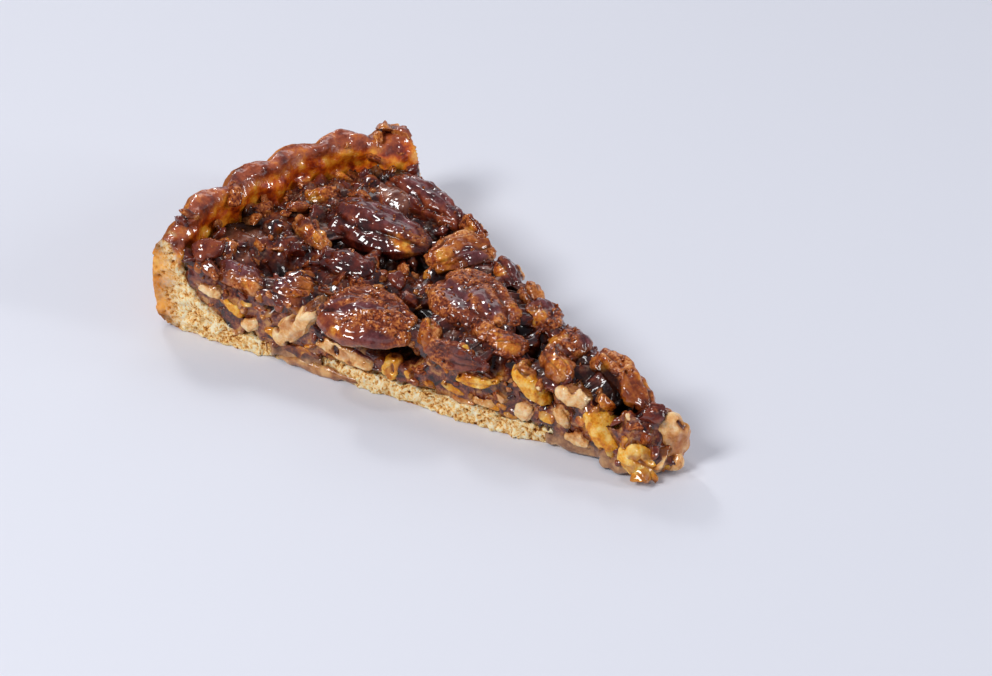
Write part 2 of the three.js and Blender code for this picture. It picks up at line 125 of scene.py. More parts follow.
# Patches on the nuts of each kind, seen from above: x, y, half length, half width, turn
SMEARS = {
    # Smooth skin bare of sugar: maroon, its mauve tint partly a painted reflection of the room
    "bare": (
        (0.5, -3.0, 8.0, 2.4, -20), (8.0, -1.0, 6.0, 2.6, -20), (-17.0, -21.2, 3.6, 1.0, 43),
        (-11.7, -20.4, 6.5, 1.1, 43), (-4.6, -24.6, 6.0, 1.7, 43), (-36.0, 9.5, 11.0, 3.2, 2),
        (-36.0, 26.5, 10.0, 2.0, -5), (32.3, 6.4, 4.5, 2.4, -20), (16.0, 10.0, 4.0, 2.0, 20),
        (-48.5, -25.5, 6.5, 4.0, 10), (-37.0, -23.0, 5.0, 3.2, 20), (-10.8, 14.0, 5.0, 2.0, 60),
    ),
    # Orange flesh under thin syrup
    "glow": (
        (1.1, -14.2, 2.8, 2.0, 20), (17.6, 4.6, 3.4, 2.2, 50), (33.8, -4.0, 4.4, 2.6, 0),
        (20.5, -7.6, 5.0, 2.0, 10), (-16.8, 8.0, 4.5, 3.0, 40), (-19.5, 22.4, 3.4, 2.0, 20),
        (-26.7, 6.0, 3.4, 1.4, 10), (39.0, 1.4, 5.0, 1.5, 10), (49.5, 5.4, 3.0, 1.6, -20),
        (-2.5, 13.6, 2.2, 1.4, 0), (-45.1, -5.4, 4.4, 2.4, 20), (-56.8, 6.0, 3.4, 2.4, 30),
        (-11.5, -29.2, 2.6, 1.0, -12), (-31.5, -24.0, 2.2, 1.6, 0), (-41.2, -28.4, 3.0, 1.2, 10),
        (-22.0, 16.0, 3.0, 2.4, 0), (13.5, 3.6, 3.0, 1.6, 60), (-2.0, -10.5, 2.6, 1.4, 30),
        (26.0, 3.5, 3.0, 2.0, 0), (-49.0, 20.0, 3.0, 2.0, 0),
    ),
    # Syrupy skin with no dried sugar
    "wet": ((-18.0, -27.0, 3.6, 3.4, 43), (-9.0, -27.0, 7.0, 1.6, 30), (-4.0, -9.5, 3.0, 2.0, 40)),
    # A hollow, sunk in and painted dark as shade
    "pit": ((43.6, 0.0, 5.2, 1.7, -14),),
    # A crust of dried sugar
    "sugar": (
        (-25.4, 10.4, 2.8, 2.4, 0), (8.0, -16.0, 4.0, 2.2, 0), (15.5, -13.6, 3.0, 1.6, 0),
        (-20.0, 16.5, 4.0, 4.0, 0),
    ),
}

# Where caramel or skin covers the cut nuts in the -Y cut: distance along, height, half length, half height
NOTCHES = (
    (40.0, 14.6, 1.0, 1.8), (35.2, 9.9, 1.3, 1.0), (38.6, 5.4, 1.0, 2.0), (43.2, 18.6, 2.8, 2.0),
    (37.0, 16.2, 1.8, 1.8), (51.4, 8.6, 0.9, 1.4), (47.2, 10.4, 1.4, 1.0), (60.5, 9.8, 3.2, 1.0),
    (93.2, 13.8, 0.5, 0.5), (83.5, 12.9, 1.6, 0.9), (104.5, 19.6, 2.2, 1.6), (125.2, 12.4, 1.3, 1.8),
    (117.6, 17.6, 1.8, 1.1), (66.5, 8.4, 0.5, 1.3), (121.0, 4.6, 0.8, 1.6),
)

# Share of dried sugar on a nut of each slot
SUGAR = {"skin_dark": 0.22, "skin_tan": 0.86, "skin_amber": 0.6, "flesh_cream": 0.25, "flesh_gold": 0.3}

# The slot of each kind of chopped nut, and the kinds that show flesh
KINDS = {
    "dark": "skin_dark", "brown": "skin_tan", "amber": "skin_amber",
    "pale": "flesh_cream", "gold": "flesh_gold",
}
FLESHY = ("pale", "gold")

# Nuggets on top: x, y, height above the caramel, radius, kind. EDGE_LEVEL is the caramel's height for one that
# lies past its edge.
EDGE_LEVEL = 19.5
NUGGETS = (
    (-60.2, 19.2, 1.0, 2.4, "amber"), (-54.6, -4.2, 1.2, 1.4, "amber"), (-51.0, 15.2, 1.2, 3.2, "brown"),
    (-37.0, -13.8, 2.2, 2.0, "amber"), (-62.3, -20.8, 1.2, 2.4, "dark"), (-22.3, 2.4, 2.6, 2.2, "amber"),
    (-19.5, -2.2, 1.6, 2.6, "dark"), (-47, 9, 1.2, 3.4, "dark"), (-40.7, 21.2, 5.0, 3.0, "amber"),
    (-16.9, 5.4, 2.6, 1.8, "gold"), (-29, 20, 1.6, 3.2, "dark"), (-52, 26, 1.6, 3.0, "brown"),
    (16, -22, 0.8, 2.4, "amber"), (-44, -3, 1.2, 2.2, "amber"), (-40, -8.5, 1.6, 2.6, "brown"),
    (-52, 2, 1.2, 3.0, "dark"), (-56.5, 0.5, 1.6, 3.0, "brown"), (-62.0, -5.6, 2.2, 3.2, "brown"),
    (-61.0, -10.5, 1.8, 2.8, "amber"), (-58.5, 11.5, 1.4, 3.0, "dark"), (-27, 12, 1.2, 2.6, "brown"),
    (38, 4.5, 1.0, 2.8, "amber"), (36.5, 0.6, 1.8, 2.8, "amber"), (24, 11, 1.4, 2.8, "dark"),
    (-29.0, -1.5, 1.6, 2.6, "dark"), (-25.5, -9.0, 1.6, 2.6, "brown"), (24.0, -6.0, 2.6, 2.4, "brown"),
    (9.5, -8.6, 2.0, 2.6, "brown"), (12.5, -9.8, 1.6, 2.2, "dark"), (-6.5, 2.4, 1.6, 2.4, "dark"),
    (1.0, 8.6, 1.8, 2.6, "brown"), (-31.5, 16.0, 2.0, 3.0, "dark"), (-22.5, 11.0, 1.6, 2.4, "brown"),
    (8.0, -15.8, 2.6, 2.2, "amber"), (26.6, -9.0, 3.0, 2.2, "amber"),
)

# Bits of nut stuck inside and on the pastry rim: x, y, radius, kind
RIM_BITS = (
    (-64.0, 24.3, 2.2, "gold"), (-62.4, 35.6, 3.4, "amber"), (-60.3, 30.8, 2.2, "amber"),
    (-58.2, 36.6, 2.6, "amber"), (-65.6, -3.0, 2.2, "gold"), (-63.6, -27.4, 2.6, "amber"),
    (-63.4, -30.0, 2.2, "dark"), (-65.4, -7.6, 2.8, "amber"), (-64.4, -13.0, 2.6, "brown"),
    (-64.6, -19.0, 2.4, "amber"), (-61.5, -33.0, 2.4, "brown"), (-65.0, 4.0, 1.8, "brown"),
    (-58.6, 28.0, 2.6, "brown"), (-56.2, 33.0, 2.2, "amber"), (-64.8, 11.5, 1.8, "amber"),
)

# Broken bits heaped at the tip: x, y, z, radius, kind
TIP_BITS = (
    (56.6, -4.6, 8.2, 2.8, "gold"), (58.4, -4.4, 2.6, 3.0, "gold"), (60.2, -2.2, 1.8, 2.2, "gold"),
    (57.2, -1.8, 10.4, 2.8, "dark"), (59.8, 0.8, 5.2, 2.2, "pale"), (59.4, -1.4, 7.4, 2.0, "dark"),
    (60.6, 4.4, 3.0, 3.0, "pale"), (60.0, 6.4, 5.2, 2.2, "gold"), (59.6, 2.2, 1.8, 2.0, "gold"),
    (53.6, -4.8, 9.4, 2.2, "gold"), (54.6, -3.0, 13.0, 2.0, "brown"), (57.4, 4.4, 13.8, 2.2, "amber"),
    (55.6, 7.4, 6.0, 2.4, "brown"), (53.4, -6.4, 4.2, 1.8, "dark"), (51.6, -2.6, 13.8, 1.8, "amber"),
    (47.0, -3.4, 15.2, 2.2, "amber"),
)

# Larger bits in the -Y cut: distance along, height, half length, half height, turn, kind
FACE_BITS = (
    (21.3, 11.6, 4.2, 1.2, 24, "gold"), (26.9, 13.4, 1.7, 1.3, 0, "gold"), (31.0, 11.2, 1.0, 1.5, 0, "gold"),
    (32.9, 7.4, 1.9, 1.9, 0, "gold"), (79.6, 12.6, 1.6, 2.6, 0, "amber"), (81.6, 7.6, 3.6, 2.0, 12, "gold"),
    (84.4, 5.2, 3.0, 1.5, 5, "pale"), (90.4, 6.2, 4.0, 2.1, 8, "gold"), (106.1, 8.6, 2.6, 1.9, 0, "gold"),
    (23.2, 4.4, 1.6, 1.0, 10, "pale"), (63.0, 9.2, 1.6, 1.2, 0, "amber"), (73.0, 9.6, 2.2, 1.4, 10, "brown"),
    (94.0, 9.6, 1.6, 1.8, 20, "brown"), (71.5, 6.2, 1.8, 1.2, 0, "brown"), (97.0, 5.4, 1.8, 1.2, 0, "gold"),
)
FACE_BIT_THICKNESS = 1.6

# Chopped nuts on top, coarse to fine: how many, least and greatest radius, kinds, spacing
CHOPS = (
    (170, 2.1, 3.3, ("dark", "brown", "amber", "amber"), 0.86),
    (420, 1.0, 1.9, ("dark", "dark", "brown", "amber", "amber"), 0.8),
)
# Chopped nuts in each cut face: how many, least and greatest radius, kinds
FACE_CHOPS = (
    (16, 1.5, 2.6, ("pale", "gold", "dark", "brown")),
    (30, 0.6, 1.3, ("pale", "gold", "brown", "dark")),
)
# Crumbs of nut and sugar: how many, least and greatest radius
CRUMBS = (1100, 0.3, 0.7)
# The area of the top that the scatters try, the lowest place that a bit may lie on, where the heap at the tip
# begins, and how many places are tried for each bit
SCATTER_X = (-66, 58)
SCATTER_Y = (-36, 36)
LOWEST_TOP = 9
TIP_HEAP_X = 56
TOP_TRIES = 30
# The part of each cut face that the scatter tries: distance along and height, and how many places for each bit
FACE_ALONG = (12, 124)
FACE_HEIGHT = (1.2, 17)
FACE_TRIES = 40

# Syrup on the -Y cut: name, distance along, height, half length, half height, bulge, colours
RUNS = (
    ("syrup_pocket", 41.5, 4.6, 5.0, 1.5, 0.55,
     ((0.35, "#2C0801"), (0.48, "#662404"), (0.6, "#B05E0A"), (0.72, "#ECA438"))),
    ("syrup_run", 46.0, 1.3, 11.0, 1.5, 1.0, ((0.32, "#7A3E18"), (0.5, "#B07440"), (0.68, "#DCA868"))),
)

# The camera's place and the way it looks, in metres; its focal length and sensor, in millimetres
CAMERA_PLACE = (0.3511, -0.3562, 0.3467)
CAMERA_LOOK = (-0.5733, 0.5988, -0.5592)
CAMERA_LENS = 94.35
CAMERA_SENSOR = 36
ROOM_STRENGTH = 0.33

# Softboxes: name, direction from the slice, distance, width and height in metres, watts
SOFTBOXES = (
    ("key_softbox", (-0.12, -0.8, 0.8), 1.1, 0.32, 0.32, 7.4),
    ("side_softbox", (0.8, 0.45, 0.36), 1.0, 0.14, 0.44, 3.4),
    ("back_softbox", (-0.9, 0.35, 0.8), 1.1, 0.16, 0.16, 2.0),
    ("top_softbox", (-0.25, -0.15, 1.0), 1.1, 0.14, 0.14, 1.2),
    ("sweep_softbox", (-0.6, 0.62, 0.56), 1.3, 1.0, 0.45, 1.8),
)


# --- numbers on points ----------------------------------------------------


def linear(hex_colour):
    """An sRGB hex colour as linear red, green, blue and alpha."""
    channels = [int(hex_colour[i : i + 2], 16) / 255 for i in (1, 3, 5)]
    return tuple(c / 12.92 if c <= 0.04045 else ((c + 0.055) / 1.055) ** 2.4 for c in channels) + (1.0,)


def ramp(low, high, value):
    """0 at low, 1 at high, smooth between and level outside them; low may be the greater."""
    share = np.clip((value - low) / (high - low), 0.0, 1.0)
    return share * share * (3 - 2 * share)


def hashed(cell, seed):
    """A repeatable number from 0 to 1 for each whole cell."""
    mixed = cell[..., 0] * 73856093 ^ cell[..., 1] * 19349663 ^ cell[..., 2] * 83492791 ^ (seed * 39916801)
    mixed = (mixed ^ (mixed >> 13)) * 1274126177
    return ((mixed ^ (mixed >> 16)) & 0xFFFFFF) / 0xFFFFFF


def lumps(points, size, seed):
    """Smooth noise from -1 to 1 with lumps of that size."""
    place = points / size
    cell = np.floor(place).astype(np.int64)
    part = place - cell
    part = part * part * (3 - 2 * part)
    total = np.zeros(len(points))
    for corner in np.ndindex(2, 2, 2):
        total += np.where(corner, part, 1 - part).prod(-1) * hashed(cell + corner, seed)
    return total * 2 - 1


def bumps(points, *layers):
    """The sum of some smooth noises. Each layer is its height, the size of its lumps and its seed."""
    return sum(height * lumps(points, size, seed) for height, size, seed in layers)


def grains(points, size, seed):
    """Distance to the nearest of scattered grains, as a share of their spacing, and a number for that grain."""
    place = points / size
    base = np.floor(place).astype(np.int64)
    nearest = np.full(len(points), 9.0)
    number = np.zeros(len(points))
    for offset in np.ndindex(3, 3, 3):
        cell = base + offset - 1
        middle = cell + np.stack([hashed(cell, seed + k) for k in range(3)], -1)
        distance = np.linalg.norm(middle - place, axis=-1)
        closer = distance < nearest
        nearest = np.where(closer, distance, nearest)
        number = np.where(closer, hashed(cell, seed + 7), number)
    return nearest, number


def spread(side, along):
    """How far a cut leans out there."""
    return FAR_SPREAD * ramp(FAR_SPREAD_END[1], FAR_SPREAD_END[0], along) if side == FAR else 0.0


def along_and_out(points, side):
    """Distance along a cut from the rim, and distance outside that cut."""
    x = points[:, 0] - CUT_START_X
    y = side * points[:, 1] - CUT_START_Y
    along = x * CUT_COS - y * CUT_SIN
    return along, x * CUT_SIN + y * CUT_COS - spread(side, along)


def on_cut(side, along, out, z):
    """The point at that distance along a cut, outside it and up."""
    out = out + spread(side, along)
    x = CUT_START_X + along * CUT_COS + out * CUT_SIN
    y = CUT_START_Y - along * CUT_SIN + out * CUT_COS
    return np.array([x, side * y, z])


def outward(side):
    """Direction in which a cut face looks."""
    return np.array([CUT_SIN, side * CUT_COS, 0.0])


def along_cut(points):
    """Points modelled along X, turned to lie along the -Y cut."""
    return points @ np.array(Matrix.Rotation(CUT_ANGLE, 3, "Z")).T


def inset_of(points):
    """Distance in from the outer wall of the case."""
    return TART_RADIUS - np.hypot(points[:, 0] - TART_CENTRE_X, points[:, 1])


def angle_of(points):
    """Angle round the tart, 0 on the slice's middle line."""
    return np.arctan2(points[:, 1], TART_CENTRE_X - points[:, 0])


def case_height(inset):
    """Height of the inside of the case."""
    return np.interp(inset, *np.array(CASE_PROFILE).T)


def rim_crest(points):
    """Height of the rim's crest on the way out through each point."""
    return np.interp(np.degrees(angle_of(points)), *np.array(RIM_CREST).T)


def in_ellipse(points, x, y, half_length, half_width, turn):
    """Distance from an ellipse's middle seen from above: 1 on its edge."""
    c, s = math.cos(math.radians(turn)), math.sin(math.radians(turn))
    dx, dy = points[:, 0] - x, points[:, 1] - y
    return np.hypot((dx * c + dy * s) / half_length, (dy * c - dx * s) / half_width)


def on_face(along, z, middle, height, half_length, half_height):
    """Distance from the middle of an ellipse on a cut face: 1 on its edge."""
    return np.hypot((along - middle) / half_length, (z - height) / half_height)


def smeared(points, kind):
    """Share of a kind of patch at each point."""
    ragged = bumps(points, (0.25, 2.4, 71), (0.15, 1.0, 72))
    share = np.zeros(len(points))
    for place in SMEARS[kind]:
        share = np.maximum(share, ramp(1.3, 0.6, in_ellipse(points, *place) + 1.3 * ragged))
    return share


# --- meshes ---------------------------------------------------------------


def deselect():
    for obj in bpy.context.selected_objects:
        obj.select_set(False)


def activate(obj):
    deselect()
    obj.select_set(True)
    bpy.context.view_layer.objects.active = obj


def stored_points(obj):
    """The mesh's points as Blender holds them."""
    flat = np.empty(len(obj.data.vertices) * 3, np.float32)
    obj.data.vertices.foreach_get("co", flat)
    return flat.reshape(-1, 3).astype(float)


def points_of(obj):
    """The mesh's points in millimetres."""
    return stored_points(obj) / MM


def normals_of(obj):
    flat = np.empty(len(obj.data.vertices) * 3, np.float32)
    obj.data.vertex_normals.foreach_get("vector", flat)
    return flat.reshape(-1, 3).astype(float)


def set_points(obj, points):
    """Writes points in millimetres; nothing goes below the floor."""
    points = points.copy()
    points[:, 2] = np.maximum(points[:, 2], 0.0)
    obj.data.vertices.foreach_set("co", (points * MM).astype(np.float32).ravel())
    obj.data.update()


def paint(obj, **layers):
    """Stores a number for each point, for the materials to read."""
    for name, values in layers.items():
        layer = obj.data.attributes.get(name) or obj.data.attributes.new(name, "FLOAT", "POINT")
        layer.data.foreach_set("value", np.asarray(values, np.float32))


def copy_of(names, name):
    """One merged object with copies of those frame nodes."""
    deselect()
    for node in names:
        copy = bpy.data.objects.new(name, frame["nodes"][node].data.copy())
        bpy.context.scene.collection.objects.link(copy)
        copy.select_set(True)
        bpy.context.view_layer.objects.active = copy
    if len(names) > 1:
        bpy.ops.object.join()
    obj = bpy.context.view_layer.objects.active
    obj.name = name
    obj.data.name = name
    bpy.ops.object.mode_set(mode="EDIT")
    bpy.ops.mesh.select_all(action="SELECT")
    bpy.ops.mesh.remove_doubles(threshold=0.002 * MM)
    bpy.ops.object.mode_set(mode="OBJECT")
    return obj


def apply_modifier(obj, kind, **settings):
    activate(obj)
    modifier = obj.modifiers.new(kind, kind)
    for key, value in settings.items():
        setattr(modifier, key, value)
    bpy.ops.object.modifier_apply(modifier=modifier.name)


def soften(obj, voxel, rounds):
    """An even skin of small faces over the whole mesh, with its edges rounded."""
    apply_modifier(obj, "REMESH", mode="VOXEL", voxel_size=voxel * MM, adaptivity=0, use_smooth_shade=True)
    apply_modifier(obj, "SMOOTH", factor=0.5, iterations=rounds)
    obj.data.polygons.foreach_set("use_smooth", [True] * len(obj.data.polygons))


def tree_of(objects):
    """One search tree over the meshes, in millimetres."""
    points, faces, start = [], [], 0
    for obj in objects:
        own = points_of(obj)
        points.extend(own.tolist())
        faces.extend([start + i for i in face.vertices] for face in obj.data.polygons)
        start += len(own)
    return BVHTree.FromPolygons(points, faces)


def dropped_on(tree, x, y):
    """Where a straight drop at x, y first meets the meshes of a tree, and the normal there."""
    return tree.ray_cast(Vector((x, y, ABOVE_ALL)), DOWN)[:2]


def finish_piece(obj, material, slot, *nodes):
    """Gives a piece its finish and its place in the frame."""
    obj.data.materials.clear()
    obj.data.materials.append(material)
    if nodes:
        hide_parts(*nodes)
    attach(obj, "root")
    return obj


# --- materials ------------------------------------------------------------

# Kinds of node in plain words: Blender's name, its settings, the sockets that values go to in turn and its
# output. plus takes first, second and share, and gives first + share * second.
NODES = {
    "place": ("ShaderNodeTexCoord", {}, (), "Object"),
    "stored": ("ShaderNodeAttribute", {}, (), "Fac"),
    "noise": ("ShaderNodeTexNoise", {}, ("Vector", "Scale", "Detail", "Roughness"), "Fac"),
    "beads": ("ShaderNodeTexVoronoi", {"feature": "SMOOTH_F1"}, ("Vector", "Scale"), "Distance"),
    "colours": ("ShaderNodeValToRGB", {}, ("Fac",), "Color"),
    "blend": ("ShaderNodeMix", {"data_type": "RGBA"}, (0, 6, 7), 2),
    "between": ("ShaderNodeMix", {"data_type": "FLOAT"}, (0, 2, 3), 0),
    "plus": ("ShaderNodeMath", {"operation": "MULTIPLY_ADD"}, (2, 0, 1), 0),
    "larger": ("ShaderNodeMath", {"operation": "MAXIMUM"}, (0, 1), 0),
    "span": ("ShaderNodeMapRange", {}, (0, 1, 2), 0),
    "relief": ("ShaderNodeBump", {}, ("Height", "Distance", "Strength"), 0),
    "shader": ("ShaderNodeBsdfPrincipled", {}, ("Base Color", "Roughness", "Normal"), 0),
    "surface": ("ShaderNodeOutputMaterial", {}, ("Surface",), None),
    "air": ("ShaderNodeBackground", {}, ("Color", "Strength"), 0),
    "world": ("ShaderNodeOutputWorld", {}, ("Surface",), None),
}

# Sizes of the patterns. Grains of sugar and flour are 0.1 to 0.3 mm, and bubbles in froth and crumb 0.3 to
# 0.5 mm, about a pixel each, so these four are drawn two to four times as coarse as they are.
SUGAR_GRIT = 0.7
NUT_GRIT = 0.55
FROTH_BUBBLE = 0.8
PASTRY_HOLE = 1.1
# These are real sizes: ripples, waves, beads and clouds in set syrup, the mottling of baked and sugared skins,
# and the tooth that a roller leaves in paint
GLAZE_RIPPLE = 1.2
SYRUP_BEAD = 1.4
RIM_BEAD = 1.6
RUN_WAVE = 1.6
RUN_RIPPLE = 2.0
SYRUP_WAVE = 2.6
POOL_WAVE = 3
SYRUP_CLOUD = 3
SKIN_MOTTLE = 2.4
CARAMEL_MOTTLE = 3.2
PASTRY_MOTTLE = 3.6
ROLLER_TOOTH = 3


def per_mm(size):
    """Texture scale for a pattern with one repeat in that many millimetres."""
    return 1.0 / (size * MM)


def add(tree, kind, *values, stops=(), sockets=None, **settings):
    """Adds a node of a kind in NODES with its settings and links, and returns its output.

    values go to that kind's sockets in turn, and sockets to the ones it names: numbers, colours or other
    nodes' outputs. stops are a colour ramp's positions and colours.
    """
    blender_name, preset, order, output = NODES[kind]
    node = tree.nodes.new(blender_name)
    for key, value in {**preset, **settings}.items():
        setattr(node, key, value)
    for key, value in {**dict(zip(order, values)), **(sockets or {})}.items():
        if isinstance(value, bpy.types.NodeSocket):
            tree.links.new(value, node.inputs[key])
        else:
            node.inputs[key].default_value = value
    if stops:
        elements = node.color_ramp.elements
        while len(elements) < len(stops):
            elements.new(0.5)
        for element, (position, colour) in zip(elements, stops):
            element.position = position
            element.color = linear(colour) if isinstance(colour, str) else (colour, colour, colour, 1)
    return None if output is None else node.outputs[output]


def new_material(name, *layers):
    """A material, its node tree, the place on the object and the named layers that paint stored."""
    material = bpy.data.materials.new(name)
    material.use_nodes = True
    tree = material.node_tree
    tree.nodes.clear()
    stored = [add(tree, "stored", attribute_name=layer) for layer in layers]
    return material, tree, add(tree, "place"), *stored


def dress(tree, colour, roughness, height, depth, wave=None, wave_depth=0.0, **sockets):
    """Finishes a surface: fine relief of that depth in millimetres, and a smoother wave in its coat."""
    named = {key.replace("_", " "): value for key, value in sockets.items()}
    if wave is not None:
        named["Coat Normal"] = add(tree, "relief", wave, wave_depth * MM, 1.0)
    relief = add(tree, "relief", height, depth * MM, 1.0)
    add(tree, "surface", add(tree, "shader", colour, roughness, relief, sockets=named))


def short_pastry():
    """Sweet short pastry, rolled, baked in a fluted tin and cut.

    It gives a matt golden skin with darker patches, a pale sandy crumb where
    it is cut, and amber syrup boiled over on to its rim, smooth as glass.
    Painted shade darkens the holes in its crumb, and the same spots are dark
    specks on its skin.
    """
    material, tree, where, crumb, glaze, amber, toast, pore = new_material(
        "Short pastry, baked and glazed", "crumb", "glaze", "amber", "toast", "pore")
    grit = add(tree, "noise", where, per_mm(SUGAR_GRIT), 5, 0.7)
    mottle = add(tree, "noise", where, per_mm(PASTRY_MOTTLE), 5, 0.6)
    # Painted shade: the crumb is darker in its holes, and on the baked skin the same spots are dark specks
    sandy = add(tree, "plus", add(tree, "plus", grit, mottle, 0.5), pore, -0.14)
    cut = add(tree, "colours", sandy, stops=(
        (0.53, "#6A3206"), (0.6, "#B0661A"), (0.66, "#E8A654"), (0.74, "#FED892"), (0.86, "#FFF4D2")))
    baked = add(tree, "plus", add(tree, "plus", toast, grit, 0.5), pore, 0.25)
    skin = add(tree, "colours", baked, stops=(
        (0.32, "#FFCC74"), (0.58, "#F6A644"), (0.78, "#D67C22"), (0.95, "#944C10")))
    mauve = add(tree, "colours", mottle, stops=(
        (0.32, "#561606"), (0.44, "#823416"), (0.57, "#AA522A"), (0.68, "#CE7222")))
    gold = add(tree, "colours", mottle, stops=(
        (0.34, "#7C1C02"), (0.44, "#C44C04"), (0.54, "#E67C0E"), (0.66, "#FCB03A")))
    syrup = add(tree, "blend", amber, mauve, gold)
    colour = add(tree, "blend", glaze, add(tree, "blend", crumb, skin, cut), syrup)
    holes = add(tree, "beads", where, per_mm(PASTRY_HOLE))
    rough = add(tree, "plus", add(tree, "plus", grit, holes, -0.6), mottle, 0.5)
    smooth = add(tree, "noise", where, per_mm(GLAZE_RIPPLE), 3, 0.5)
    wave = add(tree, "plus", add(tree, "noise", where, per_mm(SYRUP_WAVE), 1, 0.4),
               add(tree, "beads", where, per_mm(RIM_BEAD)), 0.3)
    dullness = add(tree, "between", glaze, 0.85, 0.42)
    height = add(tree, "between", glaze, rough, smooth)
    dress(tree, colour, dullness, height, 0.4, wave, 0.6, IOR=1.46, Specular_IOR_Level=0.3,
          Coat_Weight=glaze, Coat_Roughness=0.02, Coat_IOR=1.62,
          Subsurface_Weight=0.12, Subsurface_Scale=0.0015, Subsurface_Radius=(1.0, 0.5, 0.25))
    return material


def boiled_caramel():
    """Caramel of brown sugar, butter and egg, boiled, poured and set.

    It gives a dark glassy top, dull tan froth where bubbles dried on it, and
    a cloudy brown jelly where it is cut. Painted shade makes it almost black
    in the gaps and pits between the nuts.
    """
    material, tree, where, gel, low, deep, film, froth = new_material(
        "Boiled caramel, set", "gel", "low", "deep", "film", "froth")
    mottle = add(tree, "noise", where, per_mm(CARAMEL_MOTTLE), 5, 0.6)
    fine = add(tree, "noise", where, per_mm(SUGAR_GRIT), 4, 0.6)
    glassy = add(tree, "colours", mottle, stops=(
        (0.3, "#120201"), (0.45, "#380A05"), (0.56, "#6A220C"), (0.68, "#9E4E1A")))
    dry = add(tree, "colours", fine, stops=((0.35, "#3C1810"), (0.5, "#6C4230"), (0.65, "#A07A5E")))
    top = add(tree, "blend", froth, glassy, dry)
    jelly = add(tree, "colours", add(tree, "plus", mottle, fine, 0.3), stops=(
        (0.52, "#1C0504"), (0.61, "#561A0E"), (0.69, "#8A4626"), (0.8, "#C08646")))
    tan = add(tree, "colours", mottle, stops=((0.32, "#74401E"), (0.48, "#AA784C"), (0.66, "#D4A670")))
    # Pool colours: amber-brown syrup, with lighter mauve tones that are partly a painted sheen of the room
    pool = add(tree, "colours", mottle, stops=(
        (0.32, "#542010"), (0.48, "#7E4A38"), (0.6, "#9E6850"), (0.7, "#B8641C")))
    face = add(tree, "blend", low, add(tree, "blend", gel, top, jelly), tan)
    # Painted shade: low between the nuts, in the pits and in the gaps, the colour goes nearly black and the coat
    # thins
    colour = add(tree, "blend", deep, add(tree, "blend", film, face, pool), linear("#0A0201"))
    rough = add(tree, "colours", fine, stops=((0.35, 0.25), (0.65, 0.5)))
    bubbly = add(tree, "plus", add(tree, "beads", where, per_mm(FROTH_BUBBLE)), fine, 0.6)
    height = add(tree, "between", film, bubbly, add(tree, "noise", where, per_mm(POOL_WAVE), 2, 0.3))
    beaded = add(tree, "plus", add(tree, "between", froth, 0.15, 0.6), gel, 0.3)
    wave = add(tree, "plus", add(tree, "noise", where, per_mm(SYRUP_WAVE), 1, 0.4),
               add(tree, "beads", where, per_mm(SYRUP_BEAD)), beaded)
    dress(tree, colour, rough, height, 0.15, wave, 0.36, IOR=1.45, Specular_IOR_Level=0.1,
          Coat_Weight=add(tree, "between", deep, 1.0, 0.1), Coat_Roughness=0.02, Coat_IOR=1.65)
    return material


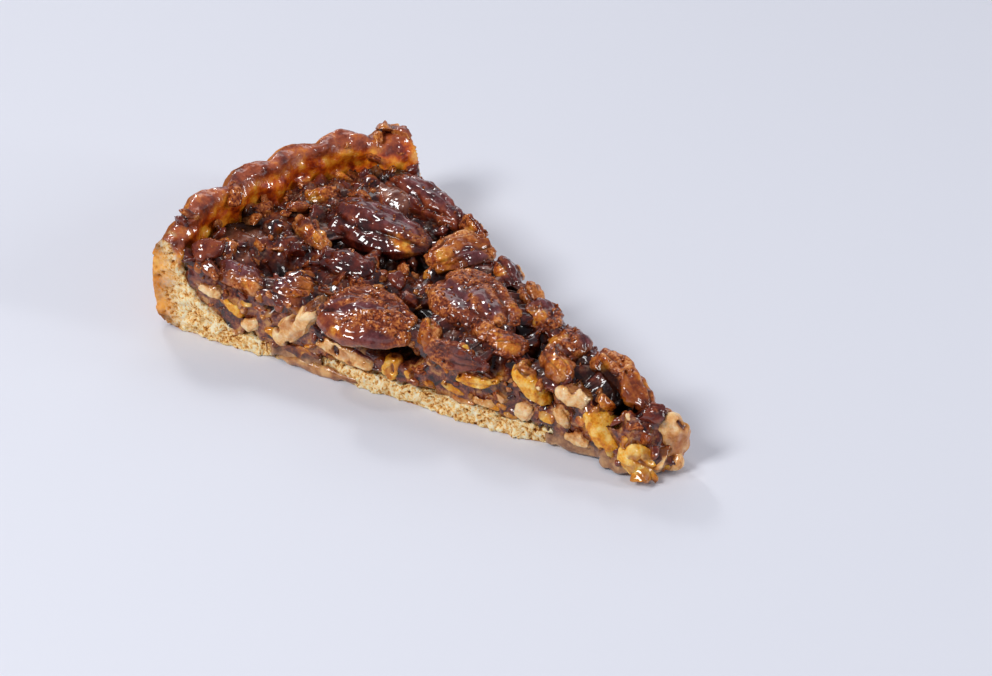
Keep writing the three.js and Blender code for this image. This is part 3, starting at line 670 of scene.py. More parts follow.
def pecan_skin(name, skin_stops, crust_stops, flesh_stops):
    """Pecan kernel, roasted and candied in the tart, some of it broken or sliced.

    It gives papery skin under clear syrup, tan pitted sugar where the syrup
    dried, and waxy flesh where it is cut, stained by syrup along its edge.
    Painted shade darkens it between the nuts, in its pits and grooves, and
    where its relief lies low.
    """
    material, tree, where, flesh, tone, ridge, sugar, bare, glow, deep = new_material(
        name, "flesh", "tone", "ridge", "sugar", "bare", "glow", "deep")
    mottle = add(tree, "noise", where, per_mm(SKIN_MOTTLE), 5, 0.6)
    fine = add(tree, "noise", where, per_mm(NUT_GRIT), 4, 0.65)
    froth = add(tree, "beads", where, per_mm(FROTH_BUBBLE))
    mixed = add(tree, "plus", mottle, fine, 0.3)
    # Painted shade: skin and sugar crust are lighter where the relief stands high and darker where it lies low
    papery = add(tree, "plus", add(tree, "plus", mottle, tone, 0.45), ridge, 0.12)
    skin = add(tree, "colours", papery, stops=skin_stops)
    # Bare skin: maroon, with mauve tones that are partly a painted reflection of the room
    smooth = add(tree, "colours", mottle, stops=((0.3, "#3A0E10"), (0.5, "#5E2626"), (0.68, "#844C4E")))
    skin = add(tree, "blend", bare, skin, smooth)
    orange = add(tree, "colours", mixed, stops=(
        (0.48, "#7A2404"), (0.6, "#BA5A0E"), (0.72, "#E08C22"), (0.86, "#F4B852")))
    skin = add(tree, "blend", glow, skin, orange)
    pitted = add(tree, "plus", add(tree, "plus", fine, froth, 0.3), ridge, 0.16)
    skin = add(tree, "blend", sugar, skin, add(tree, "colours", pitted, stops=crust_stops))
    meat = add(tree, "colours", add(tree, "plus", mixed, tone, 0.15), stops=flesh_stops)
    colour = add(tree, "blend", add(tree, "span", flesh, 0.2, 0.42), skin, meat)
    stained = add(tree, "colours", flesh, stops=((0.1, 0.0), (0.35, 1.0), (0.55, 0.75), (0.9, 0.0)))
    colour = add(tree, "blend", add(tree, "between", stained, 0.0, 0.75), colour, linear("#AE5C1C"))
    # Painted shade: low between the nuts, and in the pits, grooves and hollows stored as dark, the colour goes
    # nearly black and the coat thins
    colour = add(tree, "blend", deep, colour, linear("#0C0302"))
    dull = add(tree, "larger", sugar, flesh)
    wet = add(tree, "colours", fine, stops=((0.35, 0.25), (0.65, 0.5)))
    height = add(tree, "plus", add(tree, "plus", fine, froth, 0.9), mottle, 0.5)
    coat = add(tree, "between", deep, add(tree, "between", dull, 1.0, 0.6), 0.08)
    wave = add(tree, "plus", add(tree, "noise", where, per_mm(SYRUP_WAVE), 1, 0.4),
               add(tree, "beads", where, per_mm(SYRUP_BEAD)), add(tree, "between", dull, 0.1, 0.5))
    dress(tree, colour, add(tree, "between", dull, wet, 0.6), height, 0.18, wave, 0.36, IOR=1.45,
          Specular_IOR_Level=0.07, Coat_Weight=coat, Coat_Roughness=0.03, Coat_IOR=1.62,
          Subsurface_Weight=add(tree, "between", flesh, 0.05, 0.2), Subsurface_Scale=0.0018,
          Subsurface_Radius=(1.0, 0.4, 0.15))
    return material


CREAM_FLESH = ((0.5, "#96521E"), (0.62, "#D8944C"), (0.73, "#EEB878"), (0.9, "#FBDEAE"))
GOLD_FLESH = ((0.5, "#A65208"), (0.62, "#DC8614"), (0.73, "#F2AC34"), (0.9, "#FAD680"))
TAN_CRUST = ((0.42, "#340C04"), (0.54, "#6A260E"), (0.67, "#9C4C20"), (0.84, "#D68844"))
ORANGE_CRUST = ((0.4, "#4A1406"), (0.53, "#86380E"), (0.66, "#B4642C"), (0.82, "#DC9A5C"))

# Each slot's material: its name, its skin's colours dark to light, its sugar crust's and its flesh's
SKINS = {
    "skin_dark": (
        "Pecan skin, dark and syrupy",
        ((0.3, "#140403"), (0.5, "#3C0E09"), (0.7, "#642012"), (0.95, "#944422")), TAN_CRUST, CREAM_FLESH,
    ),
    "skin_tan": (
        "Pecan skin, sugar crusted",
        ((0.3, "#2A0804"), (0.5, "#621A0C"), (0.7, "#8C3C1A"), (0.95, "#B46C30")), TAN_CRUST, CREAM_FLESH,
    ),
    "skin_amber": (
        "Pecan skin, amber",
        ((0.35, "#280703"), (0.55, "#5A1C08"), (0.72, "#8A3C0E"), (0.98, "#C06E1C")), ORANGE_CRUST, GOLD_FLESH,
    ),
    "flesh_cream": (
        "Pecan flesh, cream",
        ((0.3, "#2A0C06"), (0.5, "#602812"), (0.7, "#945426"), (0.95, "#C08444")), TAN_CRUST, CREAM_FLESH,
    ),
    "flesh_gold": (
        "Pecan flesh, golden",
        ((0.3, "#381004"), (0.5, "#7E360E"), (0.7, "#B0641A"), (0.95, "#D49636")), ORANGE_CRUST, GOLD_FLESH,
    ),
}


def nut_material(slot):
    return bpy.data.materials.get(SKINS[slot][0]) or pecan_skin(*SKINS[slot])


def clear_syrup(name, stops):
    """Brown sugar syrup that ran out of the cut and set.

    It gives a clear amber bead, lighter where it is thin, smooth and glassy.
    """
    material, tree, where = new_material(name)
    colour = add(tree, "colours", add(tree, "noise", where, per_mm(SYRUP_CLOUD), 4, 0.55), stops=stops)
    height = add(tree, "noise", where, per_mm(RUN_RIPPLE), 3, 0.4)
    wave = add(tree, "noise", where, per_mm(RUN_WAVE), 3, 0.4)
    dress(tree, colour, 0.3, height, 0.4, wave, 0.5, IOR=1.49, Specular_IOR_Level=0.3,
          Coat_Weight=1.0, Coat_Roughness=0.04, Coat_IOR=1.5,
          Subsurface_Weight=0.3, Subsurface_Scale=0.003, Subsurface_Radius=(1.0, 0.45, 0.15))
    return material


def painted_board(colour):
    """Fibreboard, rolled with matt paint: a plain even tone with hardly any tooth."""
    material, tree, where = new_material("Matt painted board")
    tooth = add(tree, "noise", where, per_mm(ROLLER_TOOTH), 3, 0.55)
    dress(tree, linear(colour), 0.7, tooth, 0.01, IOR=1.3)
    return material


# --- sizes and colours a user would change --------------------------------


class TartSizes(bpy.types.PropertyGroup):
    pastry_grain: bpy.props.FloatProperty(
        name="Pastry grain", description="Face size of the pastry's skin",
        default=0.45 * MM, unit="LENGTH", precision=5)
    caramel_grain: bpy.props.FloatProperty(
        name="Caramel grain", description="Face size of the caramel's skin",
        default=0.54 * MM, unit="LENGTH", precision=5)
    nut_grain: bpy.props.FloatProperty(
        name="Nut grain", description="Face size of a nut's skin",
        default=0.32 * MM, unit="LENGTH", precision=5)
    chop_seed: bpy.props.IntProperty(
        name="Chop seed", description="Which scatter of chopped nuts is used", default=7)
    floor_side: bpy.props.FloatProperty(
        name="Floor side", description="Side of the square floor", default=6.0, unit="LENGTH")


class TartColours(bpy.types.PropertyGroup):
    floor: bpy.props.StringProperty(name="Floor", description="Colour of the floor", default="#DBDDE5")
    room: bpy.props.StringProperty(
        name="Room", description="Colour of the light from all round", default="#DDE0F2")


# --- the stage ------------------------------------------------------------


def softbox(name, towards, distance, width, height, watts):
    """A rectangular lamp out in that direction that looks back at the slice."""
    light = bpy.data.lights.new(name, "AREA")
    light.shape = "RECTANGLE"
    light.size = width
    light.size_y = height
    light.energy = watts
    box = bpy.data.objects.new(name, light)
    bpy.context.scene.collection.objects.link(box)
    direction = Vector(towards).normalized()
    box.location = direction * distance
    box.rotation_euler = direction.to_track_quat("Z", "Y").to_euler()


class TART_OT_stage(bpy.types.Operator):
    """Puts up the camera, the floor and the softboxes"""

    bl_idname = "tart.stage"
    bl_label = "Stage"

    def execute(self, context):
        scene = context.scene
        camera = bpy.data.objects.new("camera", bpy.data.cameras.new("camera"))
        scene.collection.objects.link(camera)
        camera.data.sensor_width = CAMERA_SENSOR
        camera.data.lens = CAMERA_LENS
        camera.data.clip_start = 0.01
        camera.data.clip_end = 20
        camera.location = CAMERA_PLACE
        camera.rotation_euler = Vector(CAMERA_LOOK).to_track_quat("-Z", "Y").to_euler()
        scene.camera = camera

        deselect()
        bpy.ops.mesh.primitive_plane_add(size=scene.tart_sizes.floor_side)
        floor = context.object
        floor.name = "floor"
        floor.data.materials.append(painted_board(scene.tart_colours.floor))
        floor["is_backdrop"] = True

        world = bpy.data.worlds.new("studio")
        scene.world = world
        world.use_nodes = True
        world.node_tree.nodes.clear()
        air = add(world.node_tree, "air", linear(scene.tart_colours.room), ROOM_STRENGTH)
        add(world.node_tree, "world", air)
        for box in SOFTBOXES:
            softbox(*box)
        scene.view_settings.view_transform = "Standard"
        scene.view_settings.look = "None"
        return {"FINISHED"}


# --- the pastry case ------------------------------------------------------


def bared_crumb(points, normals):
    """Share of sandy crumb: in both cuts, and on the ledge where the case shows above the filling."""
    crumb = np.zeros(len(points))
    for side in (NEAR, FAR):
        _, out = along_and_out(points, side)
        cut = ramp(0.35, 0.7, normals @ outward(side)) * ramp(-3.4, -2.4, out)
        ledge = ramp(-4.0, -2.6, out + 0.6 * lumps(points, 2.0, 20))
        ledge *= ramp(2.0, 3.5, points[:, 2]) * ramp(20, 16, points[:, 2])
        crumb = np.maximum(crumb, np.maximum(cut, ledge * ramp(6, 8, inset_of(points))))
    return crumb


def boiled_over(points, normals, crumb):
    """Share of syrup that boiled over the rim: inside it and on its crest, with a ragged edge."""
    radial = np.stack([points[:, 0] - TART_CENTRE_X, points[:, 1], np.zeros(len(points))], -1)
    radial /= np.linalg.norm(radial, axis=1)[:, None]
    facing_out = (normals * radial).sum(1)
    edge = bumps(points, (0.35, 2.6, 21), (0.15, 1.1, 22))
    return ramp(0.1, -0.1, facing_out - 0.25 + edge) * ramp(13, 16, points[:, 2]) * (1 - crumb)


class TART_OT_pastry(bpy.types.Operator):
    """Bakes the fluted pastry case over its frame node"""

    bl_idname = "tart.pastry"
    bl_label = "Pastry case"

    def execute(self, context):
        obj = copy_of(["pastry_crust"], "pastry_case")
        soften(obj, context.scene.tart_sizes.pastry_grain / MM, 2)
        points, normals = points_of(obj), normals_of(obj)
        inset, height = inset_of(points), points[:, 2]
        below = rim_crest(points) - height
        crumb = bared_crumb(points, normals)
        glaze = boiled_over(points, normals, crumb)
        skin = (1 - crumb) * (1 - glaze)

        # The crumb is sandy with holes, the baked skin has a few dimples
        hole, number = grains(points, 1.3, 31)
        relief = crumb * (
            bumps(points, (0.35, 2.2, 32), (0.4, 1.1, 33)) - 0.7 * ramp(0.45, 0.12, hole) * (number > 0.4))
        dimple, count = grains(points, 2.2, 41)
        relief += skin * (
            bumps(points, (0.22, 5.0, 42), (0.1, 1.2, 43)) - 0.4 * ramp(0.4, 0.1, dimple) * (count > 0.7))

        # Syrup lies in lumps, thicker inside the rim, and hangs from each flute's lobe
        relief += glaze * (bumps(points, (0.55, 4.2, 44), (0.35, 2.0, 45)) - 0.1)
        inside = glaze * ramp(5.8, 8.0, inset)
        relief += inside * (bumps(points, (1.1, 4.8, 47), (0.5, 2.3, 48)) + 0.4)
        lobe = 0.5 - 0.5 * np.cos(2 * math.pi * (angle_of(points) - FLUTE_VALLEY) / FLUTE_PITCH)
        hanging = ramp(0.3, 1.5, below) * ramp(8.0, 3.5, below) * ramp(4.0, 6.0, inset)
        relief += glaze * 1.3 * lobe * hanging

        # The foot of the cuts is ragged with loose crumbs, the underside flat
        relief += crumb * ramp(3.5, 0.5, height) * bumps(points, (0.6, 2.6, 50), (0.35, 1.3, 51))
        relief *= ramp(-0.6, 0.6, height)
        set_points(obj, points + normals * relief[:, None])

        toast = 0.45 + 0.3 * lumps(points, 6.0, 46) + 0.2 * ramp(18, 26, height) + 0.1 * ramp(3, 0, height)
        toast += 0.35 * ramp(6, 0, height) * ramp(9, 2, inset) * crumb
        outer_edge = ramp(9.5, 0.5, inset + 2.0 * lumps(points, 3.0, 49)) * crumb
        # pore holds painted shade in the crumb's holes and dark specks on the baked skin
        paint(
            obj, crumb=crumb * (1 - 0.85 * outer_edge), glaze=glaze, toast=toast,
            amber=ramp(2.0, 5.0, below + 1.8 * lumps(points, 4.0, 23)),
            pore=(1 - glaze) * ramp(0.5, 0.15, hole) * (number > 0.5) * (0.35 + 0.65 * crumb),
        )
        finish_piece(obj, short_pastry(), "pastry", "pastry_crust")
        return {"FINISHED"}


# --- the caramel ----------------------------------------------------------

# How far the caramel stands off the nuts, over how much further its hold on them fades, and how far off a nut
# is looked for
CLING = 0.9
CLING_FADE = 1.3
CLING_REACH = 2.4
# How deep it is tucked under the skin of a nut and of a chopped bit
NUT_TUCK = 1.3
CHOP_TUCK = 0.4
# The same for the inside of the case: full hold, fade, reach and tuck
CASE_CLING = 0.8
CASE_FADE = 0.7
CASE_REACH = 1.5
CASE_TUCK = 0.3


def poured_round(nuts, chops):
    """The caramel's frame node, joined with the nuts and the chopped bits that it holds."""
    obj = copy_of(["caramel_filling"], "caramel")
    deselect()
    for chop in chops:
        copy = bpy.data.objects.new("chop_in_caramel", chop.data.copy())
        bpy.context.scene.collection.objects.link(copy)
        copy.select_set(True)
    nuts.select_set(True)
    obj.select_set(True)
    bpy.context.view_layer.objects.active = obj
    bpy.ops.object.join()
    return obj


def tucked_under(points, trees):
    """The points drawn in under each nut's skin, and how far each was drawn. trees holds trees and tucks."""
    tucked = points.copy()
    drawn = np.zeros(len(points))
    for tree, tuck in trees:
        for i, point in enumerate(points):
            place, direction, _, distance = tree.find_nearest(Vector(point), CLING_REACH)
            if place is None or drawn[i] > 0:
                continue
            outside = (Vector(point) - place).dot(direction) > 0
            share = 1.0 if not outside else max(0.0, 1 - max(0.0, distance - CLING) / CLING_FADE)
            tucked[i] += (np.array(place) - tuck * np.array(direction) - point) * share
            drawn[i] = share
    return tucked, drawn


def seated_in_case(points, normals):
    """The points, those that are close to the inside of the case drawn in under it."""
    seated = points.copy()
    case = tree_of([frame["nodes"]["pastry_crust"]])
    for i in np.flatnonzero((normals[:, 2] < 0.2) | (points[:, 2] < 8)):
        place, direction, _, distance = case.find_nearest(Vector(points[i]), CASE_REACH)
        if place is not None and direction.z > 0.15:
            under = np.array(place) - CASE_TUCK * np.array(direction)
            seated[i] += (under - points[i]) * (1 - max(0.0, distance - CASE_CLING) / CASE_FADE)
    return seated


def cut_jelly(points, normals):
    """Share of cut caramel: in both cut faces."""
    gel = np.zeros(len(points))
    for side in (NEAR, FAR):
        _, out = along_and_out(points, side)
        gel = np.maximum(gel, ramp(0.1, 0.5, normals @ outward(side)) * ramp(-4.5, -2.5, out))
    return gel


def sunk_in_pits(points):
    """How dark each point is painted as shade in a pit between the nuts, and how far the pit sinks it."""
    dark, sunk = np.zeros(len(points)), np.zeros(len(points))
    for x, y, radius, depth in PITS:
        away = np.hypot(points[:, 0] - x, points[:, 1] - y) + 0.8 * lumps(points, 2.2, 61)
        hollow = ramp(0.95 * radius, 0.35 * radius, away) * ramp(3.0, 7.0, points[:, 2])
        sunk = np.maximum(sunk, 0.5 * depth * hollow)
        dark = np.maximum(dark, hollow * min(1.0, depth / 5))
    return dark, sunk


def pooled(points):
    """Share of a smooth pool at each point, and the height that the pool brings it to."""
    film = np.zeros(len(points))
    level = points[:, 2].copy()
    for x, y, half_length, half_width, turn, height in POOLS:
        away = in_ellipse(points, x, y, half_length, half_width, turn) + 0.2 * lumps(points, 3.0, 62)
        inside = ramp(1.15, 0.75, away) * ramp(12, 15, points[:, 2]) * (points[:, 2] < height + 0.6)
        rise = (height + 1.1 * lumps(points, 3.2, 63) - points[:, 2]) * inside
        level = np.where(inside > 0, np.maximum(level, points[:, 2] + rise), level)
        film = np.maximum(film, inside)
    return film, level


def gapped(points):
    """The points pushed in at the gaps under the nuts in the -Y cut, and the share of gap at each, painted dark
    as shadow.
    """
    along, out = along_and_out(points, NEAR)
    gap = np.zeros(len(points))
    for *ellipse, depth in GAPS:
        away = on_face(along, points[:, 2], *ellipse) + 0.2 * lumps(points, 2.0, 75)
        share = ramp(1.1, 0.7, away) * ramp(-7.0, -4.0, out)
        points = points - (depth * share)[:, None] * outward(NEAR)
        gap = np.maximum(gap, share)
    return points, gap


class TART_OT_caramel(bpy.types.Operator):
    """Fills the case with caramel that clings to the nuts in it"""

    bl_idname = "tart.caramel"
    bl_label = "Caramel"

    def execute(self, context):
        nuts = copy_of(NUT_NODES, "nuts_in_caramel")
        chops = [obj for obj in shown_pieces() if obj.name.startswith("chopped")]
        trees = ((tree_of([nuts]), NUT_TUCK), (tree_of(chops), CHOP_TUCK))
        apply_modifier(nuts, "DISPLACE", strength=CLING * MM, mid_level=0.0)
        obj = poured_round(nuts, chops)
        soften(obj, context.scene.tart_sizes.caramel_grain / MM, 3)
        tucked, near_nut = tucked_under(points_of(obj), trees)
        set_points(obj, tucked)
        apply_modifier(obj, "SMOOTH", factor=0.5, iterations=5)
        poured, normals = points_of(obj), normals_of(obj)
        points = seated_in_case(poured, normals)

        top = ramp(0.25, 0.6, normals[:, 2])
        gel = cut_jelly(points, normals)
        pit, sink = sunk_in_pits(points)
        film, level = pooled(points)
        bead, number = grains(points, 2.3, 64)
        dome = 0.5 - bead
        crusted = top * (1 - film) * ramp(-0.25, 0.35, bumps(points, (1, 6.0, 73), (0.4, 2.5, 74)))
        relief = top * (1 - film) * (0.6 + bumps(points, (0.5, 3.4, 65), (0.08, 1.5, 66)) + 0.6 * dome)
        relief += gel * (bumps(points, (0.45, 3.0, 67), (0.15, 1.4, 68)) + 0.3 * dome * (number > 0.6))
        relief *= ramp(0.2, 2.0, points[:, 2]) * (1 - 0.8 * near_nut)
        points = points + normals * relief[:, None]
        points[:, 2] += (level - poured[:, 2]) * top - sink * top
        points, gap = gapped(points)
        set_points(obj, points)
        # Painted shade: the pits and the gaps under the nuts are stored as dark
        paint(
            obj, film=film, dark=np.maximum(pit, gap), froth=crusted * ramp(-0.1, 0.3, dome),
            gel=gel * ramp(17.0, 13.5, points[:, 2] + lumps(points, 3.0, 70)),
            low=gel * ramp(5.0, 2.5, points[:, 2] + 0.8 * lumps(points, 4.0, 69)),
        )
        finish_piece(obj, boiled_caramel(), "caramel", "caramel_filling")
        return {"FINISHED"}


# --- the large pecans -----------------------------------------------------


def edge_distance(points, inside):
    """Distance of the points inside from the nearest one that is not."""
    others = np.flatnonzero(~inside)
    tree = KDTree(len(others))
    for i in others:
        tree.insert(points[i], i)
    tree.balance()
    distance = np.zeros(len(points))
    for i in np.flatnonzero(inside):
        distance[i] = tree.find(points[i])[2]
    return distance


def in_own_frame(points):
    """The points measured along a kernel's length, width and thickness, from its middle."""
    centred = points - points.mean(0)
    _, axes = np.linalg.eigh(np.cov(centred.T))
    thick, wide, long = axes.T
    if thick[2] < 0:
        thick = -thick
    return centred @ np.stack([long, wide, thick], 1)


def bared_flesh(node, points, normals, seed):
    """Share of flesh where the knife opened a nut. A whole nut shows it only where the far cut trimmed it."""
    flesh = np.zeros(len(points))
    for side in (NEAR, FAR):
        _, out = along_and_out(points, side)
        facing = normals @ outward(side)
        if "cut" in node:
            opened = (facing - 0.3 * ramp(0.6, 0.95, normals[:, 2]) > 0.1) & (out > -3.0)
        else:
            opened = (facing > 0.8) & (out > out.max() - 0.8) & (out > -0.8) & (side == FAR)
        if opened.sum() > 60 and not opened.all():
            inwards = edge_distance(points, opened) + bumps(points, (0.7, 2.6, seed), (0.35, 1.2, seed + 15))
            flesh = np.maximum(flesh, opened * ramp(-0.7, 1.2, inwards))
    return flesh


def covered(points, side, seed):
    """Share of caramel or skin over a cut nut: at NOTCHES in the -Y cut, at random in the other."""
    if side == FAR:
        return ramp(0.45, 0.65, bumps(points, (1, 2.6, seed + 21), (0.15, 1.2, seed + 22)))
    along, _ = along_and_out(points, NEAR)
    cover = np.zeros(len(points))
    for notch in NOTCHES:
        away = on_face(along, points[:, 2], *notch) + 0.25 * lumps(points, 1.3, 76)
        cover = np.maximum(cover, ramp(1.2, 0.8, away))
    return cover


def dress_nut(node, grain):
    """One pecan over its frame node: grooves, wrinkles, dried sugar and, where a cut opened it, its flesh."""
    obj = copy_of([node], node + "_kernel")
    soften(obj, grain, 3)
    points, normals = points_of(obj), normals_of(obj)
    seed = int(node[-2:]) * 5 + len(node)
    slot = SLOT_OF.get(node) or "skin_dark"
    half, cut, tip = ("half" in node), ("cut" in node), ("tip" in node)
    side = NEAR if points[:, 1].mean() < 0 else FAR
    local = in_own_frame(points)
    share = local / np.abs(local).max(0)
    aside = share[:, 1] / np.maximum(1e-6, np.hypot(share[:, 1], share[:, 2]))
    upper = ramp(-0.2, 0.3, share[:, 2])

    flesh = bared_flesh(node, points, normals, seed)
    notch = covered(points, side, seed) * flesh
    flesh -= notch
    if tip and slot.startswith("flesh"):
        flesh = 0.3 + 0.7 * ramp(-1.0, 0.2, bumps(points, (1, 3.4, seed + 3), (0.4, 1.5, seed + 4)))

    # Two long grooves that wander and fade out here and there
    lengthwise = np.stack([local[:, 0], np.zeros(len(local)), np.zeros(len(local))], -1)
    groove = np.exp(-(((np.abs(aside + 0.16 * lumps(lengthwise, 5.0, seed)) - 0.5) / 0.12) ** 2))
    groove *= upper * ramp(-0.5, 0.4, lumps(points, 6.0, seed + 11) + 0.5)

    # What lies on the skin: mauve or orange patches, and dried sugar in plates with pits
    bare = smeared(points, "bare") * upper
    glow = smeared(points, "glow") * upper
    dried = SUGAR[slot] + bumps(points, (0.3, 4.5, seed + 16), (0.2, 2.0, seed + 17)) - 0.25 * groove
    crust = np.maximum(ramp(0.35, 0.75, dried) * ramp(-0.6, 0.1, share[:, 2]), smeared(points, "sugar"))
    crust *= (1 - bare) * (1 - 0.7 * glow) * (1 - smeared(points, "wet"))
    pore, number = grains(points, 1.5, seed + 18)
    pores = ramp(0.4, 0.15, pore) * (number > 0.5)
    plates = ramp(-0.12, 0.12, lumps(points, 3.4, seed + 19))
    hollow = smeared(points, "pit") * (points[:, 2] > 12)

    # A half keeps its wrinkles along its length; a broken piece is mostly lumps
    folded = np.stack([local[:, 0] / 5.5, aside * 3.4, share[:, 2] * 1.5], -1)
    wrinkles = 0.5 * lumps(folded, 1.0, seed + 1) + 0.3 * lumps(folded * 2.3, 1.0, seed + 2) - groove
    relief = (0.6 if half else 0.25) * wrinkles * (1 - 0.4 * crust)
    relief += bumps(points, (0.5 if half else 0.9, 4.6, seed + 5), (0.3 if half else 0.45, 2.3, seed + 6))
    relief += crust * (0.45 * plates + 0.22 * lumps(points, 1.0, seed + 20) - 0.45 * pores)
    relief += 0.25 * bare - 1.2 * hollow + (0.06 + 0.14 * crust) * lumps(points, 1.3, seed + 12)
    relief -= 0.1 if half else 0.3

    # A cut face is nearly flat, with creases of the folded seed and a sunk edge
    crease = np.abs(lumps(local / [9.0, 3.4, 3.4], 1.0, seed + 13))
    crease = ramp(0.2 if tip else 0.12, 0.04, crease) * (flesh > 0)
    cut_relief = bumps(points, (0.2, 2.6, seed + 8), (0.12, 1.1, seed + 9))
    cut_relief -= 0.3 * crease + 0.3 * (1 - flesh) + 0.7 * notch
    if tip:
        cut_relief += bumps(points, (0.5, 2.2, seed + 23), (0.25, 1.2, seed + 24)) - 0.5 * crease
    opened = ramp(0.0, 0.3, flesh + notch)
    relief = np.maximum(relief * (1 - opened) + opened * cut_relief, -1.0)
    if cut:
        in_face = normals - (normals @ outward(side))[:, None] * outward(side)
        points = points + in_face * bumps(points, (0.6, 3.4, seed + 10), (0.3, 1.5, seed + 14))[:, None]
    set_points(obj, points + normals * relief[:, None])

    tone = 0.5 + 0.45 * (hashed(np.array([[seed, 3, 9]]), 5)[0] - 0.5) + 0.25 * lumps(points, 5.0, seed + 7)
    # Painted shade: the pits in the sugar crust, the grooves in bare skin and the sunk hollow are stored as
    # dark, and the relief is stored for painted shade too
    dark = 0.5 * crust * pores + 0.6 * ramp(0.4, 1.0, groove) * (1 - crust) * (1 - bare)
    paint(
        obj, flesh=flesh * (1 - (0.95 if tip else 0.4) * crease), tone=tone,
        ridge=np.clip(relief * 1.2, -1, 1), sugar=crust, bare=bare, glow=glow,
        dark=np.maximum(dark * (1 - opened), 0.85 * hollow),
    )
    finish_piece(obj, nut_material(slot), slot, node)


class TART_OT_pecans(bpy.types.Operator):
    """Dresses each large pecan over its frame node"""

    bl_idname = "tart.pecans"
    bl_label = "Pecans"

    def execute(self, context):
        for node in NUT_NODES:
            dress_nut(node, context.scene.tart_sizes.nut_grain / MM)
        return {"FINISHED"}


# --- chopped nuts and crumbs ----------------------------------------------


def fragment(seed, grain):
    """A broken bit of pecan within unit reach: its points and faces. grain is the size of its faces."""
    rng = random.Random(seed)
    deselect()
    bpy.ops.mesh.primitive_uv_sphere_add(segments=24, ring_count=14, radius=1.0)
    obj = bpy.context.object
    ball = stored_points(obj)
    groove = np.exp(-(((np.abs(ball[:, 1]) - 0.42) / 0.14) ** 2)) * (ball[:, 2] > 0)
    shape = ball * [1.9, 1.25, 0.95] * (1 - 0.22 * groove + 0.2 * lumps(ball, 0.7, seed))[:, None]
    obj.data.vertices.foreach_set("co", shape.astype(np.float32).ravel())
    bpy.ops.object.mode_set(mode="EDIT")
    for _ in range(4):
        normal = Vector([rng.gauss(0, 1) for _ in range(3)]).normalized()
        bpy.ops.mesh.select_all(action="SELECT")
        bpy.ops.mesh.bisect(
            plane_co=normal * rng.uniform(0.3, 0.75), plane_no=normal, use_fill=True, clear_outer=True)
    bpy.ops.object.mode_set(mode="OBJECT")
    apply_modifier(obj, "REMESH", mode="VOXEL", voxel_size=grain, adaptivity=0)
    apply_modifier(obj, "SMOOTH", factor=0.5, iterations=8)
    points = stored_points(obj)
    points -= points.mean(0)
    points /= np.abs(points).max()
    faces = [tuple(face.vertices) for face in obj.data.polygons]
    bpy.data.objects.remove(obj)
    return points, faces


class Heap:
    """Fragments of one kind, gathered into one mesh."""

    def __init__(self):
        self.points, self.faces, self.tones, self.flesh = [], [], [], []
        self.count = 0

    def add(self, points, faces, tone, flesh):
        self.points.append(points)
        self.faces.extend(tuple(self.count + i for i in face) for face in faces)
        self.tones.append(np.full(len(points), tone))
        self.flesh.append(flesh)
        self.count += len(points)

    def build(self, name, slot, roughness):
        """Makes the mesh, with a rough skin of that height."""
        mesh = bpy.data.meshes.new(name)
        mesh.from_pydata((np.concatenate(self.points) * MM).tolist(), [], self.faces)
        mesh.update()
        obj = bpy.data.objects.new(name, mesh)
        bpy.context.scene.collection.objects.link(obj)
        activate(obj)
        bpy.ops.object.shade_smooth_by_angle(angle=math.radians(50))
        points, normals = points_of(obj), normals_of(obj)
        flesh = np.concatenate(self.flesh)
        relief = roughness * bumps(points, (0.7, 1.8, 81), (0.2, 0.9, 82)) * (1 - 0.7 * flesh)
        set_points(obj, points + normals * relief[:, None])
        tone = np.concatenate(self.tones)
        none = np.zeros(len(points))
        dried = SUGAR[slot] + bumps(points, (0.5, 3.0, 83)) + 0.4 * (tone - 0.5)
        glow = ramp(0.55, 0.8, tone) if slot in ("skin_amber", "flesh_gold") else none
        # The relief is stored for painted shade: lighter where it stands high, darker where it lies low
        paint(obj, flesh=flesh, tone=tone, ridge=relief, sugar=ramp(0.4, 0.7, dried) * (1 - flesh),
              bare=none, glow=glow, dark=none)
        finish_piece(obj, nut_material(slot), slot)


def turned(points, angles, lean=None):
    """Points turned and, if lean is given, tipped so that +Z follows lean."""
    matrix = Euler(angles).to_matrix()
    if lean is not None:
        matrix = Vector(lean).to_track_quat("Z", "Y").to_matrix() @ matrix
    return points @ np.array(matrix).T


def stretched(points, radius, rng):
    """A fragment at its size, a little longer, narrower and flatter by chance."""
    proportions = [rng.uniform(0.95, 1.35), rng.uniform(0.8, 1.1), rng.uniform(0.7, 0.95)]
    return points * radius * np.array(proportions)


def trimmed(points, limit):
    """The points, none of them further outside a cut than limit, and which of them the knife took."""
    taken = np.zeros(len(points), bool)
    for side in (NEAR, FAR):
        _, out = along_and_out(points, side)
        over = out > limit
        points = points - np.where(over, out - limit, 0)[:, None] * outward(side)
        taken |= over
    return points, taken


def in_slice(x, y, radius):
    """Whether a round piece at x, y lies inside the slice and on no pit."""
    here = np.array([[x, y, 0.0]])
    out = max(along_and_out(here, side)[1][0] for side in (NEAR, FAR))
    if out > -0.35 * radius or inset_of(here)[0] < 8.5 + 0.4 * radius or x > TIP_HEAP_X:
        return False
    return all(math.hypot(x - px, y - py) > 0.72 * reach + 0.2 * radius for px, py, reach, _ in PITS)


def in_pool(x, y):
    """Whether x, y lies on a pool of smooth syrup."""
    here = np.array([[x, y, 0.0]])
    return any(in_ellipse(here, *ellipse)[0] < 1.0 for *ellipse, _ in POOLS)


